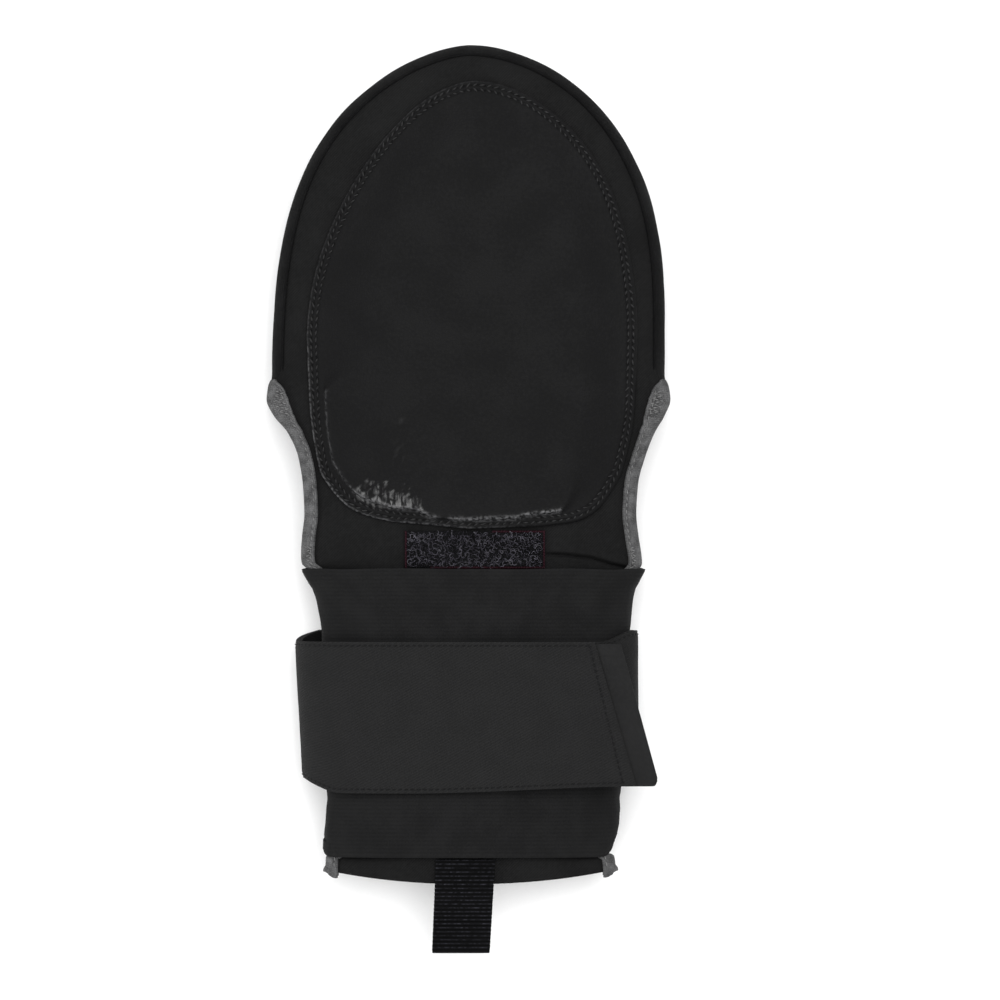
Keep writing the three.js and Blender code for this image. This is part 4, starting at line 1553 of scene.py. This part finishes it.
    def _stitches(self, name: str) -> None:
        """Sews the row along the tape and its two tacks."""
        row = []
        for k in range(self.row_steps + 1):
            y = lerp(self.low_y + 3.5, self.high_y - 3.0, k / self.row_steps)
            inside = self._reach(y) * self.seam_share
            row.append((self._over(y, inside, self.clear - 0.12), Vector((0, 0, self.face.value))))
        seam = Seam(pitch=2.2, length=1.6, radius=0.22)
        places = seam.places(row) + self._tack(self.tack_top) + self._tack(self.tack_bottom)
        add_piece(f"{name}_stitches", join_copies(seam.stitch(), places), Slot.TAPE, GREY_THREAD)

    def build(self, name: str) -> Piece:
        """Builds the tape and its thread.

        Args:
            name: the CAD node that it stands for.

        Returns:
            The tape, a folded sheet.
        """
        shape = sheet_mesh(self.columns, self.rows, self.surface, (14, 185))
        mark_points(shape, "wear_and_glint", self._worn)
        mark_points(shape, "pit", self._spots)
        piece = add_piece(f"{name}_tape", shape, Slot.TAPE, HEATHER, name)
        add_wall(piece, POCKET.tape)
        round_edges(piece, 0.3)
        self._stitches(name)
        return piece


@dataclass
class WristBand:
    """The elastic band round the wrist, with a flared top hem."""

    spokes: int = 300
    lines: int = 104
    mid_z: float = 18.0
    squareness: float = 3.0
    section: tuple[float, float] = (52.0, 15.3)
    section_samples: int = 2000
    wall: float = 1.6
    top_y: float = -24.2
    bottom_y: float = -122.1
    top_seam: float = -30.3
    bottom_seam: float = -117.3
    hem: float = 0.32
    bottom_hem: float = 0.3
    seam_dip: float = 0.18
    pucker: float = 0.22
    squeeze: float = 0.3
    edge_wave: float = 0.5
    lowest: float = 0.3
    corners: tuple[float, float] = (2.4, 4.8)
    rows: tuple[BandRow, ...] = (
        BandRow(-24.6, 56.6, 60, 33.5, 1.3),
        BandRow(-30, 53.8, 57.4, 33.4, 1.9),
        BandRow(-36, 51.8, 56.0, 33.4, 2.5),
        BandRow(-43.5, 50.5, 55.3, 33.4, 2.8),
        BandRow(-60, 49.9, 54.4, 33.4, 2.8),
        BandRow(-100, 48.5, 52.0, 33.4, 2.8),
        BandRow(-116, 49.2, 50.9, 33.4, 2.8),
        BandRow(-122, 49.5, 49.4, 33.4, 2.8),
    )

    def _squared(self, value: float) -> float:
        """A sine or cosine of the section's angle, drawn out towards the corners."""
        return math.copysign(abs(value) ** (2 / self.squareness), value)

    def __post_init__(self) -> None:
        """Spaces the spokes evenly round the section, from the middle of the back."""
        last = self.section_samples
        fine = [math.pi + 2 * math.pi * k / last for k in range(last + 1)]
        wide, tall = self.section
        spots = [Vector((wide * self._squared(math.sin(a)), tall * self._squared(math.cos(a)))) for a in fine]
        runs = [0.0]
        for near, far in zip(spots, spots[1:]):
            runs.append(runs[-1] + (far - near).length)
        self.angles = []
        for spoke in range(self.spokes + 1):
            k = min(bisect.bisect_left(runs, runs[-1] * spoke / self.spokes), last)
            self.angles.append(fine[k] % (2 * math.pi))
        self.angles[-1] = self.angles[0]

    def _relief(self, angle: float, y: float) -> float:
        """Hems, the squeeze under the strap and soft puckers."""
        hem = self.hem * smoothstep(y, -30.4, -29.7) + self.bottom_hem * smoothstep(-y, 117.2, 117.9)
        sewn = self.seam_dip * (bump(y, self.top_seam, 0.5) + bump(y, self.bottom_seam, 0.5))
        free = 1 - smoothstep(y, -104, -96) * (1 - smoothstep(y, -52, -44))
        pucker = self.pucker * ripple(math.cos(angle) * 9, y / 6 + math.sin(angle) * 9, 1.0, 3.3)
        return hem - sewn + free * pucker - self.squeeze * (bump(y, -46.5, 2.5) + bump(y, -102.5, 2))

    def surface(self, u: float, v: float) -> Vector:
        """Point of the band's outer face: round the wrist, and from its bottom edge to its top edge."""
        angle = self.angles[round(u * self.spokes)]
        y = lerp(self.bottom_y, self.top_y, v)
        left, right = column(self.rows, y, "left"), column(self.rows, y, "right")
        sine, cosine = math.sin(angle), math.cos(angle)
        relief = self._relief(angle, y)
        x = (right - left) / 2 + ((right + left) / 2 + relief) * self._squared(sine)
        limit = column(self.rows, y, "top" if cosine > 0 else "bottom") + math.copysign(relief, cosine)
        z = self.mid_z + (limit - self.mid_z) * abs(self._squared(cosine))
        lift = 0.0
        for gap, corner in zip((left + x, right - x), self.corners):
            past = clamp((corner - gap) / corner)
            lift += corner * (1 - math.sqrt(1 - past * past)) * smoothstep(-y, 108, 122)
        wave = self.edge_wave * ripple(sine * 3, cosine * 3, 1.0, 6.6) * smoothstep(y, -34, -25)
        return Vector((x, y + lift + wave, max(z, self.lowest)))

    def build(self) -> Piece:
        """Builds and dresses the band.

        Returns:
            The band, a stretched sheet.
        """
        shape = sheet_mesh(self.spokes, self.lines, self.surface, (300, 98))
        ends = (self.top_y, self.bottom_y + 0.4)
        mark_points(shape, "wear_and_glint", lambda place: 0.5 * sum(bump(place.y, end, 0.8) for end in ends))
        piece = add_piece("wrist_band_elastic", shape, Slot.ELASTIC, ELASTIC, "wrist_band")
        add_wall(piece, self.wall)
        round_edges(piece, 0.6)
        return piece


class Route:
    """A smooth curve through points, measured along its length."""

    def __init__(self, points: Sequence[RoutePoint], steps: int = 24) -> None:
        """Samples the curve.

        Args:
            points: the points that it passes through.
            steps: samples between two of them.
        """
        knots = [Vector(point) for point in points]
        knots = [2 * knots[0] - knots[1], *knots, 2 * knots[-1] - knots[-2]]
        self.samples = [knots[1]]
        for a, b, c, d in zip(knots, knots[1:], knots[2:], knots[3:]):
            before, here, after = ((q - p).length ** 0.5 for p, q in ((a, b), (b, c), (c, d)))
            leave = ((b - a) / before - (c - a) / (before + here) + (c - b) / here) * here
            arrive = ((c - b) / here - (d - b) / (here + after) + (d - c) / after) * here
            for k in range(1, steps + 1):
                t = k / steps
                curve = b * (2 * t**3 - 3 * t**2 + 1) + c * (3 * t**2 - 2 * t**3)
                self.samples.append(curve + leave * (t**3 - 2 * t**2 + t) + arrive * (t**3 - t**2))
        self.runs = [0.0]
        for near, far in zip(self.samples, self.samples[1:]):
            self.runs.append(self.runs[-1] + (far - near).length)

    def at(self, share: float) -> Vector:
        """Point at a share of the curve's length."""
        due = clamp(share) * self.runs[-1]
        low, high = 0, len(self.runs) - 1
        while high - low > 1:
            middle = (low + high) // 2
            low, high = (middle, high) if self.runs[middle] <= due else (low, middle)
        share = (due - self.runs[low]) / (self.runs[high] - self.runs[low])
        return self.samples[low].lerp(self.samples[high], share)

    def share_at_x(self, x: float) -> float:
        """Share of the length at which the last quarter reaches x."""
        near, far = 0.75, 1.0
        for _ in range(30):
            middle = (near + far) / 2
            near, far = (middle, far) if self.at(middle).x < x else (near, middle)
        return near


@dataclass
class ClosureStrap:
    """The closure strap, wound round the wrist and over its own start, and the ribbon tab under its end."""

    wall: float = 2.2
    top_y: float = -48.8
    bottom_y: float = -100.2
    end_top_x: float = 42.7
    end_bottom_x: float = 57.0
    end_rise: float = 2.5
    under_shift: float = 3.6
    under_tuck: float = 1.2
    turn_share: float = 0.045
    steps: int = 430
    columns: int = 44
    ribbon: float = 1.2
    tab_tuck: float = 5.0
    tab_top_x: float = 51.6
    tab_bottom_x: float = 64.9
    tab_drop: float = 2.4
    seam_inset: float = 1.3
    end_seam: tuple[float, float] = (4.5, 2.1)
    groove: float = 0.25
    edge_roll: float = 0.3
    slack: float = 0.16
    small_slack: float = 0.05
    row_steps: int = 400
    end_steps: int = 60
    points: tuple[RoutePoint, ...] = (
        RoutePoint(18, 34.8), RoutePoint(33, 33.9), RoutePoint(47.3, 31.2), RoutePoint(55.1, 26),
        RoutePoint(56.8, 18), RoutePoint(54.8, 9.8), RoutePoint(46, 3.2), RoutePoint(30, 1.4),
        RoutePoint(0, 1.3), RoutePoint(-30, 1.4), RoutePoint(-46, 2.8), RoutePoint(-54.6, 8),
        RoutePoint(-57.2, 15.5), RoutePoint(-54.8, 23.5), RoutePoint(-47, 30), RoutePoint(-34, 33.9),
        RoutePoint(-16, 35.1), RoutePoint(1, 35.5), RoutePoint(14, 37.3), RoutePoint(28, 37.8),
        RoutePoint(44, 37.4), RoutePoint(62, 36.2),
    )

    def __post_init__(self) -> None:
        """Measures the route and finds where the slanted end cuts it."""
        self.route = Route(self.points)
        self.end_top = self.route.share_at_x(self.end_top_x)
        self.end_bottom = self.route.share_at_x(self.end_bottom_x)
        samples = self.route.samples
        leftmost = min(range(len(samples)), key=lambda k: samples[k].x)
        self.left_turn = self.route.runs[leftmost] / self.route.runs[-1]

    def _mid(self, u: float, v: float) -> Vector:
        """Point of the strap's middle layer, without relief."""
        share = u * lerp(self.end_bottom, self.end_top, v)
        point = self.route.at(share)
        under = smoothstep(share, 0.085, 0.13)
        front = clamp((share - self.left_turn + self.turn_share) / self.turn_share)
        low_front = smoothstep(share, self.left_turn + 0.005, self.left_turn + 0.075)
        rise = self.end_rise * smoothstep(point.x, -20, 57)
        low = self.bottom_y + rise * max(low_front, 1 - smoothstep(share, 0.1, 0.2))
        low += (1 - low_front) * (self.under_tuck + self.under_shift * under)
        high = self.top_y + self.under_shift * under * (1 - front)
        skew = lerp(1.4, -1.1, v) * bump(share, self.left_turn, 0.07)
        return Vector((point.x + skew, lerp(low, high, v), point.y))

    def _relief(self, u: float, v: float, place: Vector) -> float:
        """Sewn grooves, soft edges and slack in the cloth."""
        from_edge = min(v, 1 - v) * (self.top_y - self.bottom_y)
        from_end = (1 - u) * self.route.runs[-1] * self.end_bottom
        grooves = bump(from_edge, self.seam_inset, 0.5) + bump(from_end, lerp(*self.end_seam, v), 0.6)
        slack = self.slack * ripple(place.x, place.y, 16, 1.9)
        slack += self.small_slack * ripple(place.x, place.y, 4, 3.4)
        roll = 2 - smoothstep(from_edge, 0, 0.9) - smoothstep(from_end, 0, 1.0)
        return slack - self.groove * grooves - self.edge_roll * roll

    def surface(self, u: float, v: float) -> Vector:
        """Point of the strap's outer face: along the route, and from its bottom edge to its top edge."""
        here, normal = facing(self._mid, u, v)
        return here + normal * (self.wall / 2 + self._relief(u, v, here))

    def _rows(self) -> list[list[tuple[Vector, Vector]]]:
        """Paths of the stitches: both long edges and the slanted end."""
        width = self.top_y - self.bottom_y
        length = self.route.runs[-1] * self.end_bottom
        low, high = self.seam_inset / width, 1 - self.seam_inset / width

        def end(v: float) -> float:
            """Share of the route at which the end row runs."""
            return 1 - lerp(*self.end_seam, v) / length

        shares = [k / self.row_steps for k in range(self.row_steps + 1)]
        rows = [[(share * end(level), level) for share in shares] for level in (low, high)]
        levels = [lerp(low, high, k / self.end_steps) for k in range(self.end_steps + 1)]
        rows.append([(end(level), level) for level in levels])
        paths = []
        for row in rows:
            path = []
            for u, v in row:
                here, normal = facing(self._mid, u, v)
                path.append((here + normal * (self.wall / 2 - 0.15), normal))
            paths.append(path)
        return paths

    @staticmethod
    def _shaded(place: Vector) -> float:
        """Painted shadow: the cloth is darker where it lies under the slanted end."""
        return 0.3 * smoothstep(35.5 - place.z, 0, 1) * smoothstep(place.x, 40, 48)

    def _end_x(self, y: float) -> float:
        """Where the slanted end runs at y."""
        return lerp(self.end_bottom_x, self.end_top_x, (y - self.bottom_y) / (self.top_y - self.bottom_y))

    def _tab(self, u: float, v: float) -> Vector:
        """Point of the tab's middle layer, tucked under the slanted end and standing out past it."""
        end_x = lerp(self.end_bottom_x, self.end_top_x, v)
        x = lerp(end_x - self.tab_tuck, lerp(self.tab_bottom_x, self.tab_top_x, v), u)
        past = max(0.0, x - end_x)
        above = self.route.at(self.route.share_at_x(min(x, end_x))).y
        z = above - self.wall / 2 - CLEARANCE - self.ribbon / 2
        y = lerp(self.bottom_y + self.tab_drop, self.top_y - 0.6, v)
        fold = 0.18 * smoothstep(u, 0.86, 0.98)
        corner = 1.6 * smoothstep(u, 0.75, 1) ** 3 * (1 - smoothstep(v, 0, 0.07))
        wave = 0.12 * ripple(x, y, 9, 2.8) * smoothstep(past, 0, 4)
        return Vector((x - 0.5 * corner, y + corner, z - past * 0.08 + wave - fold))

    def build(self) -> Piece:
        """Builds the strap, its stitches and the tab.

        Returns:
            The strap, a folded sheet.
        """
        length = self.route.runs[-1] * (self.end_bottom + self.end_top) / 2
        width = self.top_y - self.bottom_y
        shape = sheet_mesh(self.steps, self.columns, self.surface, (length, width))
        mark_points(shape, "wear_and_glint", lambda place: 0.5 * bump(place.y, self.top_y, 0.6))
        mark_points(shape, "pit", self._shaded)
        strap = add_piece("closure_strap_cloth", shape, Slot.STRAP, STRAP_CLOTH, "closure_strap")
        add_wall(strap, self.wall)
        round_edges(strap, 0.45)
        seam = Seam(pitch=2.1, length=1.55, radius=0.2)
        seam.sew("closure_strap_stitches", self._rows(), Slot.STRAP, STRAP_THREAD)
        ribbon = sheet_mesh(36, 120, self._tab, (13, 49))
        # Painted contact shadow on the tab, along the strap's slanted end.
        mark_points(ribbon, "pit", lambda place: 0.75 * bump(place.x - self._end_x(place.y), 0.3, 0.7))
        tab = add_piece("grip_tab_ribbon", ribbon, Slot.RIBBON, RIBBON_CLOTH, "grip_tab")
        add_wall(tab, self.ribbon)
        tab.modifiers["wall"].offset = 0
        round_edges(tab, 0.4)
        return strap


@dataclass
class PullTab:
    """A loop of ribbed webbing whose two legs clasp the cuff's front lip."""

    width: float = 20.0
    end_width: float = 19.4
    middle_x: float = -1.0
    lean: float = -1.6
    top_y: float = -122.9
    end_y: float = -154.7
    wall: float = 1.3
    tongue: float = 3.5
    fold: float = 1.15
    rib_pitch: float = 1.36
    rib_height: float = 0.3
    rib_share: float = 0.75
    seat: float = 0.15
    sag: float = 0.25

    def __post_init__(self) -> None:
        """Lays the loop's route, from the front leg round to the inner leg."""
        lip = POCKET.lip_y
        face = POCKET.height(Face.FRONT, self.middle_x, lip)
        off = CLEARANCE + self.wall / 2 + self.seat
        outer, inner = face + off, face - self.tongue - off
        middle = (outer + inner) / 2
        front = [(self.top_y, outer), (lip - 0.4, outer), (lip - 8, middle + self.fold + 0.5),
                 (self.end_y + 4, middle + self.fold), (self.end_y + 1, middle + self.fold * 0.9)]
        back = [(y, (inner if z == outer else 2 * middle - z)) for y, z in reversed(front)]
        self.route = Route([RoutePoint(*spot) for spot in (*front, (self.end_y + 0.65, middle), *back)])

    def surface(self, u: float, v: float) -> Vector:
        """Point of the webbing's middle layer: across it, and along the loop."""
        spot = self.route.at(v)
        down = clamp((self.top_y - spot.x) / (self.top_y - self.end_y))
        half = lerp(self.width, self.end_width, down) / 2
        edge = 0.07 * ripple(spot.x, 0, 0.9, 4.1)
        x = self.middle_x + self.lean * down + (1 - 2 * u) * (half + edge)
        sag = self.sag * ripple(x, spot.x, 14, 5.5) * down * (1 - down) * 4
        return Vector((x, spot.x, spot.y + sag))

    def _ribbed(self, u: float, v: float) -> Vector:
        """Point of the ribbed outer face."""
        here, normal = facing(self.surface, u, v)
        run = v * self.route.runs[-1]
        rib = abs(math.cos(math.pi * run / self.rib_pitch)) ** 0.8
        selvedge = smoothstep(min(u, 1 - u), 0, 0.05)
        height = self.rib_height * (rib - self.rib_share) * lerp(0.3, 1, selvedge)
        return here + normal * (self.wall / 2 + height)

    def _mark(self, shape: Mesh) -> None:
        """Marks the ribs' crests pale and paints shade into the valleys, from the cloth map."""
        cloth = shape.loops.layers.uv["cloth"]
        layers = {name: shape.verts.layers.float.new(name) for name in ("wear_and_glint", "pit")}
        for face in shape.faces:
            for loop in face.loops:
                across, run = loop[cloth].uv / MM
                crest = abs(math.cos(math.pi * run / self.rib_pitch))
                broken = 0.55 + 0.9 * ripple(across * 1.5, run / 3, 0.8, 3.7)
                loop.vert[layers["wear_and_glint"]] = clamp(broken * smoothstep(crest, 0.9, 0.99))
                # Painted shade in the valleys between the ribs.
                loop.vert[layers["pit"]] = 1 - smoothstep(crest, 0.1, 0.7)

    def build(self) -> Piece:
        """Builds and dresses the tab.

        Returns:
            The webbing, a folded sheet.
        """
        length = self.route.runs[-1]
        shape = sheet_mesh(30, 420, self._ribbed, (self.width, length))
        self._mark(shape)
        piece = add_piece("pull_tab_webbing", shape, Slot.WEBBING, WEBBING_CLOTH, "pull_tab")
        add_wall(piece, self.wall)
        round_edges(piece, 0.3)
        return piece


def main() -> None:
    """Builds the mitt and its studio."""
    logging.basicConfig(level=logging.INFO, format="%(message)s")
    Studio().build()
    for face in Face:
        PaddedPanel(face, f"{face.name.lower()}_panel").build()
    RimGusset().build()
    ImpactPatch().build()
    LoopPatch().build()
    for face in Face:
        for side in Side:
            EdgeBinding(side, face).build(f"binding_{face.name.lower()}_{side.name.lower()}")
    WristBand().build()
    ClosureStrap().build()
    PullTab().build()


if __name__ == "__main__":
    main()
